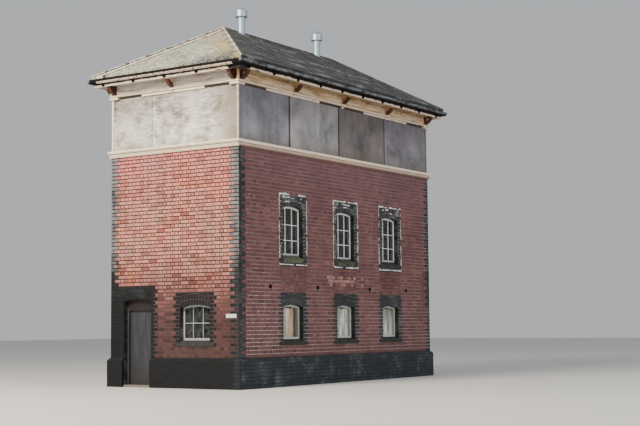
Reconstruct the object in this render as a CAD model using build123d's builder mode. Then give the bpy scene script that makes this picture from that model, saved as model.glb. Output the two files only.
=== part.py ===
from build123d import *
import os
from dataclasses import dataclass
from math import asin, cos, radians, sin, sqrt, tan

# Railway signal box: two brick storeys on a blue-brick plinth, a boarded-up timber
# operating storey above them, and a hipped slate roof on bracketed eaves.
# Origin at the centre of the base on the ground. X runs along the track-side wall.
# Millimetres throughout. Depths are measured inwards from the face of the brickwork,
# so what stands proud of the brickwork has a negative depth. Distances along a long wall
# start at the door end, and distances along an end wall start at the track side.

# Plan
length = 8120
width = 3580
wall = 340
half_brick = 115
seam = 0.5  # hairline left at each corner mitre
fit = 0.3  # clearance round a piece that fits into an opening

# Heights of the brickwork
plinth_height = 640
plinth_projection = 60
gauge = 82.5  # one course of bricks and its joint
courses = 54

# Floors
ground_floor_thickness = 50
middle_floor_top = 2400
operating_floor_top = 4500
floor_thickness = 150

# Window and door openings
arch_rise = 55
arch_ring = 229
jamb_width = 140
window_width = 770
window_distances = (1985, 4135, 6165)
upper_foot_course = 26
upper_frame_foot = 2857
upper_crown = 3955
lower_foot_course = 4
lower_frame_foot = 1020
lower_crown = 1780
end_window_width = 810
end_window_distance = 1180
door_width = 800
door_pier_width = 380  # brickwork between the doorway and the back corner
door_crown = 1930
over_door = 240  # brickwork over the crown that is laid with the door's arch

# Window joinery
frame_depth = 75
frame_face = 45
sill_nose = 12
glass_thickness = 5
board_thickness = 12
board_lap = 20
board_clearance = 20  # each side, to the brickwork

# Vents under the middle floor, each one course high
vent_width = 105
vent_course = 18
vent_distances = (1125, 2950, 5190, 6925)

# Door joinery
post_face = 60
stop_depth = 45
stop_lap = 20
leaf_thickness = 44
leaf_gap = 8
stop_gap = 5
leaf_head = 1676
transom_thickness = 25
ledge_width = 100
ledge_thickness = 22
ledge_inset = 70
ledge_distance = 150  # from the foot or the top of the leaf to the middle of its end ledges
hinge_distance = 290
pin_radius = 4
knuckle_radius = 8
knuckle_height = 30
knuckle_clearance = 0.3
hinge_stand_off = 9
leaf_plate_length = 65
post_plate_length = 36
plate_thickness = 3

# Timber operating storey
sill_beam_height = 150
sill_beam_depth = 150
sill_projection = 70
sill_lower_projection = 40
sill_lower_height = 68
bead = 50
sheet_recess = 25
sheet_thickness = 25
sheet_height = 1175
stud = 100
long_joints = (1915, 3920, 5990)
long_joint_widths = (70, 50, 50)
end_joints = (2400,)
end_joint_widths = (12,)

# Eaves, from the top of the sheets up to the slates
fillet_height = 50
fillet_projection = 5
moulding_height = 50
moulding_projection = 30
corner_block_length = 200
corner_block_projection = 38
corner_post_arm = 42
corner_post_projection = 35
bracket_block_width = 100
bracket_block_drop = 30
frieze_height = 200
soffit_thickness = 18
fascia_reach = 280
fascia_thickness = 25
fascia_drop = 20
fascia_height = 213
bracket_width = 80
bracket_reach = 215
bracket_nose = 45
bracket_foot = 45
bracket_arm = 35
bracket_inset = 100
long_bays = 4
end_bays = 2

# Gutter
gutter_radius = 60
gutter_side = 35
gutter_wall = 5
gutter_rise = 165  # rim above the bottom of the fascia
gutter_bracket_width = 60
gutter_bracket_thickness = 15
gutter_bracket_spacing = 900
gutter_bracket_gap = 0.5

# Roof
roof_pitch = 30.5
slate_overhang = 330
slate_thickness = 45
cap_wing = 110
cap_thickness = 14
cap_roll = 26

# Ridge ventilators
ventilator_centres = (-1586, 1586)
pipe_radius = 87
drum_radius = 145
pipe_height = 385  # from the ridge to the foot of the drum
drum_height = 142
cone_height = 118
cone_tip_radius = 25
saddle_length = 320
saddle_wing = 170
saddle_thickness = 8

os.makedirs("parts", exist_ok=True)

# Levels worked out from the sizes above
wall_top = plinth_height + courses * gauge
upper_foot = plinth_height + upper_foot_course * gauge
lower_foot = plinth_height + lower_foot_course * gauge
vent_foot = plinth_height + vent_course * gauge
sill_beam_top = wall_top + sill_beam_height
sheet_top = sill_beam_top + sheet_height
moulding_foot = sheet_top + fillet_height
frieze_foot = moulding_foot + moulding_height
soffit_level = frieze_foot + frieze_height
fascia_foot = soffit_level - fascia_drop
fascia_inner = fascia_reach - fascia_thickness
over_door_level = door_crown + over_door
over_run = 1000  # how far a run is drawn past a corner before it is mitred


def roof_underside(depth):
    """Height of the underside of the slates at a depth inwards from the brick face."""
    return fascia_foot + fascia_height + (depth + fascia_reach) * tan(radians(roof_pitch))


def roof_surface(depth):
    """Height of the top of the slates at a depth inwards from the brick face."""
    return roof_underside(depth) + slate_thickness / cos(radians(roof_pitch))


@dataclass
class Side:
    """One side of the building: its outward normal, half its run and half the span to it."""

    normal_x: int
    normal_y: int
    half_run: float
    half_span: float

    @property
    def face_origin(self):
        return Vector(self.normal_x * self.half_span, self.normal_y * self.half_span, 0)

    @property
    def run_direction(self):
        return Vector(-self.normal_y, self.normal_x, 0)

    @property
    def outward(self):
        return Vector(self.normal_x, self.normal_y, 0)

    def place(self, distance):
        """Position along the run of a distance from the door end or from the track side."""
        return (distance - self.half_run) * (self.normal_x - self.normal_y)

    @property
    def section(self):
        """Plane of a cross-section: X is the depth inwards and Y is the height."""
        return Plane(origin=self.face_origin, x_dir=-self.outward, z_dir=self.run_direction)

    def section_at(self, along):
        """The same cross-section, moved along the wall."""
        return self.section.offset(along)

    def elevation(self, depth=0.0):
        """Plane of the wall as seen from outside, at a depth: X runs along it, Y is the height."""
        origin = self.face_origin - self.outward * depth
        return Plane(origin=origin, x_dir=self.run_direction, z_dir=self.outward)

    @property
    def mitres(self):
        """Upright planes through both corners, each facing the run that it keeps."""
        planes = []
        for end in (-1, 1):
            keep = (self.outward - self.run_direction * end).normalized()
            corner = self.face_origin + self.run_direction * (end * self.half_run)
            planes.append(Plane(origin=corner + keep * (seam / 2), z_dir=keep))
        return planes


front = Side(0, -1, length / 2, width / 2)
back = Side(0, 1, length / 2, width / 2)
door_end = Side(-1, 0, width / 2, length / 2)
far_end = Side(1, 0, width / 2, length / 2)
sides = (front, back, door_end, far_end)
long_sides = (front, back)
ends = (door_end, far_end)


@dataclass
class Opening:
    """A window or door opening with a segmental head, placed on one side."""

    side: Side
    centre: float
    span: float
    foot: float
    crown: float
    frame_foot: float = 0

    @property
    def spring(self):
        return self.crown - arch_rise

    @property
    def radius(self):
        return (arch_rise**2 + (self.span / 2) ** 2) / (2 * arch_rise)

    def outline(self, inset=0.0, foot=None, depth=0.0):
        """Face of the opening, drawn in by an inset, standing on the given foot."""
        low = (self.foot if foot is None else foot) + inset
        half = self.span / 2 - inset
        inner_radius = self.radius - inset
        centre_height = self.crown - self.radius
        spring = centre_height + sqrt(inner_radius**2 - half**2)
        with BuildSketch(self.side.elevation(depth)) as face:
            with BuildLine():
                Polyline(
                    (self.centre - half, spring),
                    (self.centre - half, low),
                    (self.centre + half, low),
                    (self.centre + half, spring),
                )
                ThreePointArc(
                    (self.centre + half, spring),
                    (self.centre, centre_height + inner_radius),
                    (self.centre - half, spring),
                )
            make_face()
        return face.sketch

    def ring(self):
        """Face of the arch of bricks on edge between its two skewbacks."""
        centre_height = self.crown - self.radius
        angle = asin(self.span / 2 / self.radius)
        outer = self.radius + arch_ring
        reach = outer * sin(angle)
        outer_spring = centre_height + outer * cos(angle)
        with BuildSketch(self.side.elevation()) as face:
            with BuildLine():
                ThreePointArc(
                    (self.centre - self.span / 2, self.spring),
                    (self.centre, self.crown),
                    (self.centre + self.span / 2, self.spring),
                )
                Line((self.centre + self.span / 2, self.spring), (self.centre + reach, outer_spring))
                ThreePointArc(
                    (self.centre + reach, outer_spring),
                    (self.centre, self.crown + arch_ring),
                    (self.centre - reach, outer_spring),
                )
                Line((self.centre - reach, outer_spring), (self.centre - self.span / 2, self.spring))
            make_face()
        return face.sketch


def window_rows(side):
    """The two storeys of windows of a long wall."""
    upper = []
    lower = []
    for distance in window_distances:
        centre = side.place(distance)
        upper.append(Opening(side, centre, window_width, upper_foot, upper_crown, upper_frame_foot))
        lower.append(Opening(side, centre, window_width, lower_foot, lower_crown, lower_frame_foot))
    return upper, lower


front_upper, front_lower = window_rows(front)
back_upper, back_lower = window_rows(back)
front_windows = front_upper + front_lower
back_windows = back_upper + back_lower
end_windows = []
for side in ends:
    end_centre = side.place(end_window_distance)
    end_windows.append(
        Opening(side, end_centre, end_window_width, lower_foot, lower_crown, lower_frame_foot)
    )
windows = front_windows + back_windows + end_windows
door_centre = door_end.place(width - door_pier_width - door_width / 2)
doorway = Opening(door_end, door_centre, door_width, 0, door_crown)


def mitred_run(side, profile):
    """A straight run of one profile along a side, mitred at both corners."""
    with BuildPart() as run:
        with BuildSketch(side.section):
            add(profile)
        extrude(amount=side.half_run + over_run, both=True)
        for mitre in side.mitres:
            split(bisect_by=mitre, keep=Keep.TOP)
    return run.part


def rectangle_profile(near, far, low, high):
    """Rectangular profile between two depths and two heights."""
    with BuildSketch() as profile:
        with Locations(((near + far) / 2, (low + high) / 2)):
            Rectangle(far - near, high - low)
    return profile.sketch


def polygon_profile(*points):
    """Straight-sided profile through points of depth and height."""
    with BuildSketch() as profile:
        with BuildLine():
            Polyline(*points, close=True)
        make_face()
    return profile.sketch


def block_face(side, centre, span, low, high, depth=0.0):
    """Rectangle on a wall's elevation plane."""
    with BuildSketch(side.elevation(depth)) as face:
        with Locations((centre, (low + high) / 2)):
            Rectangle(span, high - low)
    return face.sketch


def brick_wall(side, low, openings):
    """A wall from a level up to the wall top, with its openings, arches and sill beds cut."""
    with BuildPart() as body:
        add(mitred_run(side, rectangle_profile(0, wall, low, wall_top)))
        for opening in openings:
            extrude(opening.outline(), amount=-wall, mode=Mode.SUBTRACT)
            extrude(opening.ring(), amount=-wall, mode=Mode.SUBTRACT)
            extrude(sill_bed(opening), amount=-half_brick, mode=Mode.SUBTRACT)
    return body.part


def sill_bed(opening):
    """Face of the course that the sill's front bricks lie in."""
    span = opening.span + 2 * jamb_width
    return block_face(opening.side, opening.centre, span, opening.foot - gauge, opening.foot)


def save(piece, name):
    """Labels a finished piece and writes it to its own file."""
    piece.part.label = name
    export_step(piece.part, f"parts/{name}.step")


# Plinth of blue engineering bricks with a splayed top course

plinth_profile = polygon_profile(
    (-plinth_projection, 0),
    (wall, 0),
    (wall, plinth_height),
    (0, plinth_height),
    (-plinth_projection, plinth_height - plinth_projection),
)

with BuildPart() as front_plinth:
    add(mitred_run(front, plinth_profile))
save(front_plinth, "front_plinth")

with BuildPart() as back_plinth:
    add(mitred_run(back, plinth_profile))
save(back_plinth, "back_plinth")

with BuildPart() as far_end_plinth:
    add(mitred_run(far_end, plinth_profile))
save(far_end_plinth, "far_end_plinth")

with BuildPart() as door_end_plinth:
    add(mitred_run(door_end, plinth_profile))
    extrude(doorway.outline(depth=-plinth_projection), amount=-wall - plinth_projection, mode=Mode.SUBTRACT)
save(door_end_plinth, "door_end_plinth")

# Brick walls

with BuildPart() as front_wall:
    add(brick_wall(front, plinth_height, front_windows))
    for distance in vent_distances:
        vent = block_face(front, front.place(distance), vent_width, vent_foot, vent_foot + gauge)
        extrude(vent, amount=-half_brick, mode=Mode.SUBTRACT)
save(front_wall, "front_wall")

with BuildPart() as back_wall:
    add(brick_wall(back, plinth_height, back_windows))
save(back_wall, "back_wall")

with BuildPart() as far_end_wall:
    add(brick_wall(far_end, plinth_height, end_windows[1:]))
save(far_end_wall, "far_end_wall")

# The door end is laid in three parts: the brickwork over the door, and both sides of it
skewback_reach = (doorway.radius + arch_ring) * sin(asin(door_width / 2 / doorway.radius)) + fit
over_door_face = block_face(door_end, door_centre, 2 * skewback_reach, doorway.spring, over_door_level)

with BuildPart() as over_door_wall:
    add(mitred_run(door_end, rectangle_profile(0, wall, over_door_level, wall_top)))
    extrude(over_door_face, amount=-wall)
    extrude(doorway.outline(), amount=-wall, mode=Mode.SUBTRACT)
    extrude(doorway.ring(), amount=-wall, mode=Mode.SUBTRACT)
    for mitre in door_end.mitres:
        split(bisect_by=mitre, keep=Keep.TOP)
save(over_door_wall, "over_door_wall")

with BuildPart() as door_end_sides:
    add(mitred_run(door_end, rectangle_profile(0, wall, plinth_height, over_door_level)))
    extrude(over_door_face, amount=-wall, mode=Mode.SUBTRACT)
    for opening in (doorway, end_windows[0]):
        extrude(opening.outline(), amount=-wall, mode=Mode.SUBTRACT)
    extrude(end_windows[0].ring(), amount=-wall, mode=Mode.SUBTRACT)
    extrude(sill_bed(end_windows[0]), amount=-half_brick, mode=Mode.SUBTRACT)
beside_door, beyond_door = door_end_sides.solids().sort_by(Axis.Y)

with BuildPart() as door_end_wall:
    add(beside_door)
save(door_end_wall, "door_end_wall")

with BuildPart() as door_pier:
    add(beyond_door)
save(door_pier, "door_pier")

# Segmental arches of blue bricks on edge

with BuildPart() as window_arches:
    for opening in windows:
        extrude(opening.ring(), amount=-wall)
save(window_arches, "window_arches")

with BuildPart() as door_arch:
    extrude(doorway.ring(), amount=-wall)
    for mitre in door_end.mitres:
        split(bisect_by=mitre, keep=Keep.TOP)
save(door_arch, "door_arch")

# Blue-brick sills: a course across the jambs and a slope up to the frame

with BuildPart() as window_sills:
    for opening in windows:
        bed = sill_bed(opening)
        extrude(bed, amount=sill_nose)
        extrude(bed, amount=-half_brick)
        slope = polygon_profile(
            (-sill_nose, opening.foot),
            (half_brick, opening.frame_foot),
            (half_brick + frame_depth, opening.frame_foot),
            (half_brick + frame_depth, opening.foot),
        )
        with BuildSketch(opening.side.section_at(opening.centre)):
            add(slope)
        extrude(amount=opening.span / 2 - fit, both=True)
save(window_sills, "window_sills")


def window_frame(opening):
    """A frame with an arched head, set half a brick back on the sill's slope."""
    foot = opening.frame_foot
    with BuildPart() as frame:
        extrude(opening.outline(fit, foot, half_brick), amount=-frame_depth)
        light = opening.outline(fit + frame_face, foot, half_brick)
        extrude(light, amount=-frame_depth, mode=Mode.SUBTRACT)
    return frame.part


def window_pane(opening):
    """The glass of one window, in the middle of its frame."""
    depth = half_brick + (frame_depth - glass_thickness) / 2
    with BuildPart() as pane:
        inset = 2 * fit + frame_face
        extrude(opening.outline(inset, opening.frame_foot, depth), amount=-glass_thickness)
    return pane.part


with BuildPart() as window_frames:
    for opening in windows:
        add(window_frame(opening))
save(window_frames, "window_frames")

with BuildPart() as window_panes:
    for opening in windows:
        add(window_pane(opening))
save(window_panes, "window_panes")

# Boards stood inside the lower front windows, against the backs of the frames

with BuildPart() as window_boards:
    for opening in front_lower:
        span = opening.span - 2 * board_clearance
        low = opening.frame_foot + frame_face - board_lap
        high = opening.spring - frame_face + board_lap
        depth = half_brick + frame_depth
        extrude(block_face(front, opening.centre, span, low, high, depth), amount=-board_thickness)
save(window_boards, "window_boards")

# Floors inside the walls

room_length = length - 2 * wall
room_width = width - 2 * wall


def floor_slab(top, thickness):
    """A floor from wall to wall."""
    with BuildPart() as slab:
        with BuildSketch(Plane.XY.offset(top - thickness)):
            Rectangle(room_length, room_width)
        extrude(amount=thickness)
    return slab.part


with BuildPart() as ground_floor:
    add(floor_slab(ground_floor_thickness, ground_floor_thickness))
save(ground_floor, "ground_floor")

with BuildPart() as middle_floor:
    add(floor_slab(middle_floor_top, floor_thickness))
save(middle_floor, "middle_floor")

with BuildPart() as operating_floor:
    add(floor_slab(operating_floor_top, floor_thickness))
save(operating_floor, "operating_floor")

# Door frame: a step, two rebated posts and a rebated head, with a fixed board over it

post_depth = stop_depth + stop_gap + leaf_thickness
door_left = door_centre - door_width / 2
door_right = door_centre + door_width / 2
inner_left = door_left + post_face
inner_right = door_right - post_face
rebate_depth = half_brick + stop_depth
post_back = half_brick + post_depth

with BuildPart() as door_step:
    step = block_face(door_end, door_centre, door_width - 2 * fit, 0, ground_floor_thickness)
    extrude(step, amount=-wall + fit)
save(door_step, "door_step")

with BuildPart() as door_posts:
    for edge, towards in ((door_left + fit, 1), (door_right - fit, -1)):
        face = post_face - fit
        stop = block_face(
            door_end,
            edge + towards * face / 2,
            face,
            ground_floor_thickness,
            leaf_head + post_face,
            half_brick,
        )
        extrude(stop, amount=-post_depth)
        rebate = block_face(
            door_end,
            edge + towards * (face - stop_lap / 2),
            stop_lap,
            ground_floor_thickness,
            leaf_head + post_face,
            rebate_depth,
        )
        extrude(rebate, amount=-post_depth, mode=Mode.SUBTRACT)
save(door_posts, "door_posts")

with BuildPart() as door_head:
    head_span = door_width - 2 * post_face
    head = block_face(
        door_end, door_centre, head_span, leaf_head, leaf_head + post_face, half_brick
    )
    extrude(head, amount=-stop_depth)
    head_back = block_face(
        door_end, door_centre, head_span + 2 * stop_lap, leaf_head + stop_lap, leaf_head + post_face, rebate_depth
    )
    extrude(head_back, amount=-stop_gap - leaf_thickness)
save(door_head, "door_head")

with BuildPart() as transom_board:
    board = doorway.outline(fit, leaf_head + post_face - fit, half_brick)
    extrude(board, amount=-transom_thickness)
save(transom_board, "transom_board")

# Door leaf, hung at its left edge as seen from outside, opening inwards

leaf_left = inner_left - stop_lap + leaf_gap
leaf_right = inner_right + stop_lap - leaf_gap
leaf_foot = ground_floor_thickness + leaf_gap
leaf_top = leaf_head + stop_lap - leaf_gap
leaf_depth = rebate_depth + stop_gap
leaf_back = leaf_depth + leaf_thickness
pin_x = leaf_left - leaf_gap / 2
pin_depth = leaf_back + hinge_stand_off
ledge_levels = (leaf_foot + ledge_distance, (leaf_foot + leaf_top) / 2, leaf_top - ledge_distance)
hinge_levels = (leaf_foot + hinge_distance, leaf_top - hinge_distance)


def hinge_plan(level):
    """Plane at a level with X along the wall and Y into the building."""
    origin = door_end.face_origin + Vector(0, 0, level)
    return Plane(origin=origin, x_dir=door_end.run_direction, z_dir=(0, 0, 1))


def knuckle(level, height):
    """One knuckle of a hinge, standing down from a level."""
    with BuildPart() as barrel:
        with BuildSketch(hinge_plan(level)):
            with Locations((pin_x, pin_depth)):
                Circle(knuckle_radius)
        extrude(amount=-height)
    return barrel.part


def hinge_plate(level, height, towards, plate_length):
    """The flat plate that carries a knuckle, on the back of the post or of the leaf."""
    start = pin_x + towards * (knuckle_radius - plate_thickness)
    with BuildPart() as plate:
        with BuildSketch(hinge_plan(level)):
            with Locations((start + towards * plate_length / 2, leaf_back + plate_thickness / 2)):
                Rectangle(plate_length, plate_thickness)
        extrude(amount=-height)
    return plate.part


with BuildPart() as door:
    leaf = block_face(
        door_end, (leaf_left + leaf_right) / 2, leaf_right - leaf_left, leaf_foot, leaf_top, leaf_depth
    )
    extrude(leaf, amount=-leaf_thickness)
    for level in ledge_levels:
        ledge = block_face(
            door_end,
            (leaf_left + leaf_right) / 2,
            leaf_right - leaf_left - 2 * ledge_inset,
            level - ledge_width / 2,
            level + ledge_width / 2,
            leaf_back,
        )
        extrude(ledge, amount=-ledge_thickness)
    for level in hinge_levels:
        top = level + knuckle_height / 2 - knuckle_clearance
        height = knuckle_height - 2 * knuckle_clearance
        add(knuckle(top, height))
        add(hinge_plate(top, height, 1, leaf_plate_length))
        with BuildSketch(hinge_plan(top)):
            with Locations((pin_x, pin_depth)):
                Circle(pin_radius + knuckle_clearance)
        extrude(amount=-height, mode=Mode.SUBTRACT)
save(door, "door")

with BuildPart() as hinge_pins:
    for level in hinge_levels:
        for top in (level + 1.5 * knuckle_height, level - knuckle_height / 2):
            add(knuckle(top, knuckle_height))
            add(hinge_plate(top, knuckle_height, -1, post_plate_length))
        with BuildSketch(hinge_plan(level + knuckle_height)):
            with Locations((pin_x, pin_depth)):
                Circle(pin_radius)
        extrude(amount=-2 * knuckle_height)
save(hinge_pins, "hinge_pins")

# Sill beam on the brickwork, its moulded nose showing as a string course

with BuildSketch() as sill_profile:
    with BuildLine():
        lower_top = wall_top + sill_lower_height
        nose_foot = lower_top + sill_projection - sill_lower_projection
        nose = sill_beam_top - nose_foot
        Polyline(
            (-sill_projection + nose / 4, sill_beam_top),
            (sill_beam_depth, sill_beam_top),
            (sill_beam_depth, wall_top),
            (-sill_lower_projection, wall_top),
            (-sill_lower_projection, lower_top),
            (-sill_projection + nose / 4, nose_foot),
        )
        ThreePointArc(
            (-sill_projection + nose / 4, nose_foot),
            (-sill_projection, nose_foot + nose / 2),
            (-sill_projection + nose / 4, sill_beam_top),
        )
    make_face()

with BuildPart() as string_course:
    for side in sides:
        add(mitred_run(side, sill_profile.sketch))
save(string_course, "string_course")

# Corner beads and studs of the operating storey

with BuildPart() as corner_beads:
    with BuildSketch(Plane.XY.offset(sill_beam_top)):
        with GridLocations(length - bead, width - bead, 2, 2):
            Rectangle(bead, bead)
    extrude(amount=sheet_height)
save(corner_beads, "corner_beads")


def joints_of(side):
    """Distances and widths of the gaps between a side's sheets."""
    if side in long_sides:
        return long_joints, long_joint_widths
    return end_joints, end_joint_widths


with BuildPart() as studs:
    with BuildSketch(Plane.XY.offset(sill_beam_top)):
        with GridLocations(length - 2 * bead - stud, width - 2 * bead - stud, 2, 2):
            Rectangle(stud, stud)
    extrude(amount=sheet_height)
    for side in sides:
        for distance in joints_of(side)[0]:
            joint_stud = block_face(side, side.place(distance), stud, sill_beam_top, sheet_top, bead)
            extrude(joint_stud, amount=-stud)
save(studs, "studs")

# Weathered sheets nailed over the window openings


def sheets(side):
    """The sheets of one side, from bead to bead with a gap at each joint."""
    distances, gaps = joints_of(side)
    start = bead
    with BuildPart() as run:
        for distance, gap in zip(distances + (2 * side.half_run - bead,), gaps + (0,)):
            end = distance - gap / 2
            middle = side.place((start + end) / 2)
            sheet = block_face(side, middle, end - start, sill_beam_top, sheet_top, sheet_recess)
            extrude(sheet, amount=-sheet_thickness)
            start = distance + gap / 2
    return run.part


with BuildPart() as front_sheets:
    add(sheets(front))
save(front_sheets, "front_sheets")

with BuildPart() as back_sheets:
    add(sheets(back))
save(back_sheets, "back_sheets")

with BuildPart() as door_end_sheets:
    add(sheets(door_end))
save(door_end_sheets, "door_end_sheets")

with BuildPart() as far_end_sheets:
    add(sheets(far_end))
save(far_end_sheets, "far_end_sheets")

# Wall head behind the frieze, up to the roof

head_profile = polygon_profile(
    (sheet_recess, sheet_top),
    (sill_beam_depth, sheet_top),
    (sill_beam_depth, roof_underside(sill_beam_depth)),
    (sheet_recess, roof_underside(sheet_recess)),
)

with BuildPart() as wall_heads:
    for side in sides:
        add(mitred_run(side, head_profile))
save(wall_heads, "wall_heads")

with BuildPart() as friezes:
    for side in sides:
        add(mitred_run(side, rectangle_profile(0, sheet_recess, frieze_foot, soffit_level)))
save(friezes, "friezes")

# Moulding under the frieze, with what is left of the fillet below it. It stops at a block at
# each corner, and a smaller block breaks it under each bracket between the corners.

moulding_profile = polygon_profile(
    (-moulding_projection, frieze_foot),
    (sheet_recess, frieze_foot),
    (sheet_recess, moulding_foot),
    (-fillet_projection, moulding_foot),
    (-moulding_projection, moulding_foot + moulding_height / 2),
)
fillet_profile = rectangle_profile(-fillet_projection, sheet_recess, sheet_top, moulding_foot)
bracket_block_profile = polygon_profile(
    (-bracket_foot, frieze_foot),
    (sheet_recess, frieze_foot),
    (sheet_recess, moulding_foot),
    (-fillet_projection, moulding_foot - bracket_block_drop),
    (-bracket_foot, moulding_foot + moulding_height / 2 - bracket_block_drop),
)
front_losses = ((200, 1020), (3070, 4030), (4090, 5020), (7060, 7950))
end_losses = ((175, 910), (2690, 3450))


def bracket_places(side):
    """Positions along a side of its brackets, the first and last close to the corners."""
    bays = long_bays if side in long_sides else end_bays
    step = 2 * (side.half_run - bracket_inset) / bays
    return [-side.half_run + bracket_inset + index * step for index in range(bays + 1)]


with BuildPart() as mouldings:
    for side in sides:
        add(mitred_run(side, fillet_profile))
    for side, losses in ((front, front_losses), (door_end, end_losses)):
        for start, end in losses:
            middle = side.place((start + end) / 2)
            loss = block_face(side, middle, end - start, sheet_top, moulding_foot, -fillet_projection)
            extrude(loss, amount=-fillet_projection - sheet_recess, mode=Mode.SUBTRACT)
    for side in sides:
        add(mitred_run(side, moulding_profile))
        for along in bracket_places(side)[1:-1]:
            with BuildSketch(side.section_at(along)):
                add(bracket_block_profile)
            extrude(amount=bracket_block_width / 2, both=True)
    with BuildSketch(Plane.XY.offset(sheet_top)):
        with GridLocations(length, width, 2, 2):
            Rectangle(2 * corner_block_length, 2 * corner_block_length)
    extrude(amount=frieze_foot - sheet_top, mode=Mode.SUBTRACT)
save(mouldings, "mouldings")


def corner_angle(arm, projection, inner):
    """Plan of an angle round each corner, with arms along both walls."""
    with BuildSketch() as plan:
        with GridLocations(length - arm + projection, width - arm + projection, 2, 2):
            Rectangle(arm + projection, arm + projection)
        Rectangle(length - 2 * inner, width - 2 * inner, mode=Mode.SUBTRACT)
    return plan.sketch


with BuildPart() as corner_blocks:
    with BuildSketch(Plane.XY.offset(sheet_top)):
        add(corner_angle(corner_block_length, corner_block_projection, sheet_recess))
    extrude(amount=frieze_foot - sheet_top)
    with BuildSketch(Plane.XY.offset(frieze_foot)):
        add(corner_angle(corner_post_arm, corner_post_projection, 0))
    extrude(amount=frieze_height)
save(corner_blocks, "corner_blocks")

# Eaves: soffit boards, fascia and the curved brackets under them

with BuildPart() as soffits:
    soffit_profile = rectangle_profile(
        -fascia_inner, sheet_recess, soffit_level, soffit_level + soffit_thickness
    )
    for side in sides:
        add(mitred_run(side, soffit_profile))
save(soffits, "soffits")

with BuildPart() as fascias:
    fascia_profile = polygon_profile(
        (-fascia_reach, fascia_foot),
        (-fascia_inner, fascia_foot),
        (-fascia_inner, roof_underside(-fascia_inner)),
        (-fascia_reach, roof_underside(-fascia_reach)),
    )
    for side in sides:
        add(mitred_run(side, fascia_profile))
save(fascias, "fascias")

bracket_height = soffit_level - frieze_foot
with BuildSketch() as bracket_profile:
    with BuildLine():
        belly = (bracket_reach * 0.72, soffit_level - bracket_height * 0.68)
        Polyline(
            (-bracket_foot, frieze_foot),
            (0, frieze_foot),
            (0, soffit_level),
            (-bracket_reach, soffit_level),
            (-bracket_reach, soffit_level - bracket_nose),
        )
        ThreePointArc(
            (-bracket_reach, soffit_level - bracket_nose),
            (-belly[0], belly[1]),
            (-bracket_foot, frieze_foot),
        )
    make_face()
    with BuildLine():
        spandrel_head = soffit_level - bracket_arm
        Polyline(
            (-bracket_arm, frieze_foot + bracket_height * 0.4),
            (-bracket_arm, spandrel_head),
            (-bracket_reach * 0.7, spandrel_head),
        )
        ThreePointArc(
            (-bracket_reach * 0.7, spandrel_head),
            (-bracket_reach * 0.49, frieze_foot + bracket_height * 0.55),
            (-bracket_arm, frieze_foot + bracket_height * 0.4),
        )
    make_face(mode=Mode.SUBTRACT)

with BuildPart() as eaves_brackets:
    for side in sides:
        for along in bracket_places(side):
            with BuildSketch(side.section_at(along)):
                add(bracket_profile.sketch)
            extrude(amount=bracket_width / 2, both=True)
save(eaves_brackets, "eaves_brackets")

# Deep half-round iron gutter on the fascia

gutter_rim = fascia_foot + gutter_rise
gutter_axis = gutter_rim - gutter_side
gutter_centre = -fascia_reach - gutter_radius
with BuildSketch() as gutter_profile:
    with Locations((gutter_centre, gutter_axis)):
        Circle(gutter_radius)
    with Locations((gutter_centre, gutter_axis + gutter_radius)):
        Rectangle(2 * gutter_radius, 2 * gutter_radius, mode=Mode.SUBTRACT)
    with Locations((gutter_centre, gutter_axis + gutter_side / 2)):
        Rectangle(2 * gutter_radius, gutter_side)
    inner = gutter_radius - gutter_wall
    with Locations((gutter_centre, gutter_axis)):
        Circle(inner, mode=Mode.SUBTRACT)
    with Locations((gutter_centre, gutter_axis + gutter_side)):
        Rectangle(2 * inner, 2 * gutter_side, mode=Mode.SUBTRACT)

with BuildPart() as gutters:
    for side in sides:
        add(mitred_run(side, gutter_profile.sketch))
save(gutters, "gutters")

gutter_foot = gutter_axis - gutter_radius - gutter_bracket_gap
gutter_bracket_profile = polygon_profile(
    (-fascia_reach, fascia_foot),
    (-fascia_reach, gutter_foot),
    (gutter_centre, gutter_foot),
    (gutter_centre, gutter_foot - gutter_bracket_thickness),
    (-fascia_reach - gutter_bracket_thickness, fascia_foot),
)

with BuildPart() as gutter_brackets:
    for side in sides:
        run = 2 * side.half_run
        count = round(run / gutter_bracket_spacing) + 1
        for index in range(count):
            along = -side.half_run + index * run / (count - 1)
            with BuildSketch(side.section_at(along)):
                add(gutter_bracket_profile)
            extrude(amount=gutter_bracket_width / 2, both=True)
save(gutter_brackets, "gutter_brackets")

# Hipped roof: one slab of slates, battens and boards for each slope

half_width = width / 2
slope_profile = polygon_profile(
    (-slate_overhang, roof_surface(-slate_overhang)),
    (half_width, roof_surface(half_width)),
    (half_width, roof_underside(half_width)),
    (-slate_overhang, roof_underside(-slate_overhang)),
)

with BuildPart() as front_slope:
    add(mitred_run(front, slope_profile))
save(front_slope, "front_slope")

with BuildPart() as back_slope:
    add(mitred_run(back, slope_profile))
save(back_slope, "back_slope")

with BuildPart() as door_end_slope:
    add(mitred_run(door_end, slope_profile))
save(door_end_slope, "door_end_slope")

with BuildPart() as far_end_slope:
    add(mitred_run(far_end, slope_profile))
save(far_end_slope, "far_end_slope")

# Ridge and hip tiles: two wings on the slates and a roll along the top, mitred where they meet

ridge_level = roof_surface(half_width)
apex = Vector(-length / 2 + half_width, 0, ridge_level)
eaves_corner = Vector(
    -length / 2 - slate_overhang, -half_width - slate_overhang, roof_surface(-slate_overhang)
)
pitch = radians(roof_pitch)
front_normal = Vector(0, -sin(pitch), cos(pitch))
back_normal = Vector(0, sin(pitch), cos(pitch))
end_normal = Vector(-sin(pitch), 0, cos(pitch))
hip_direction = (eaves_corner - apex).normalized()
ridge_direction = Vector(1, 0, 0)
hip_length = (eaves_corner - apex).length


def upright(origin, keep):
    """An upright plane that keeps the side that it faces, less half a seam."""
    direction = keep.normalized()
    return Plane(origin=origin + direction * (seam / 2), z_dir=direction)


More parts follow.
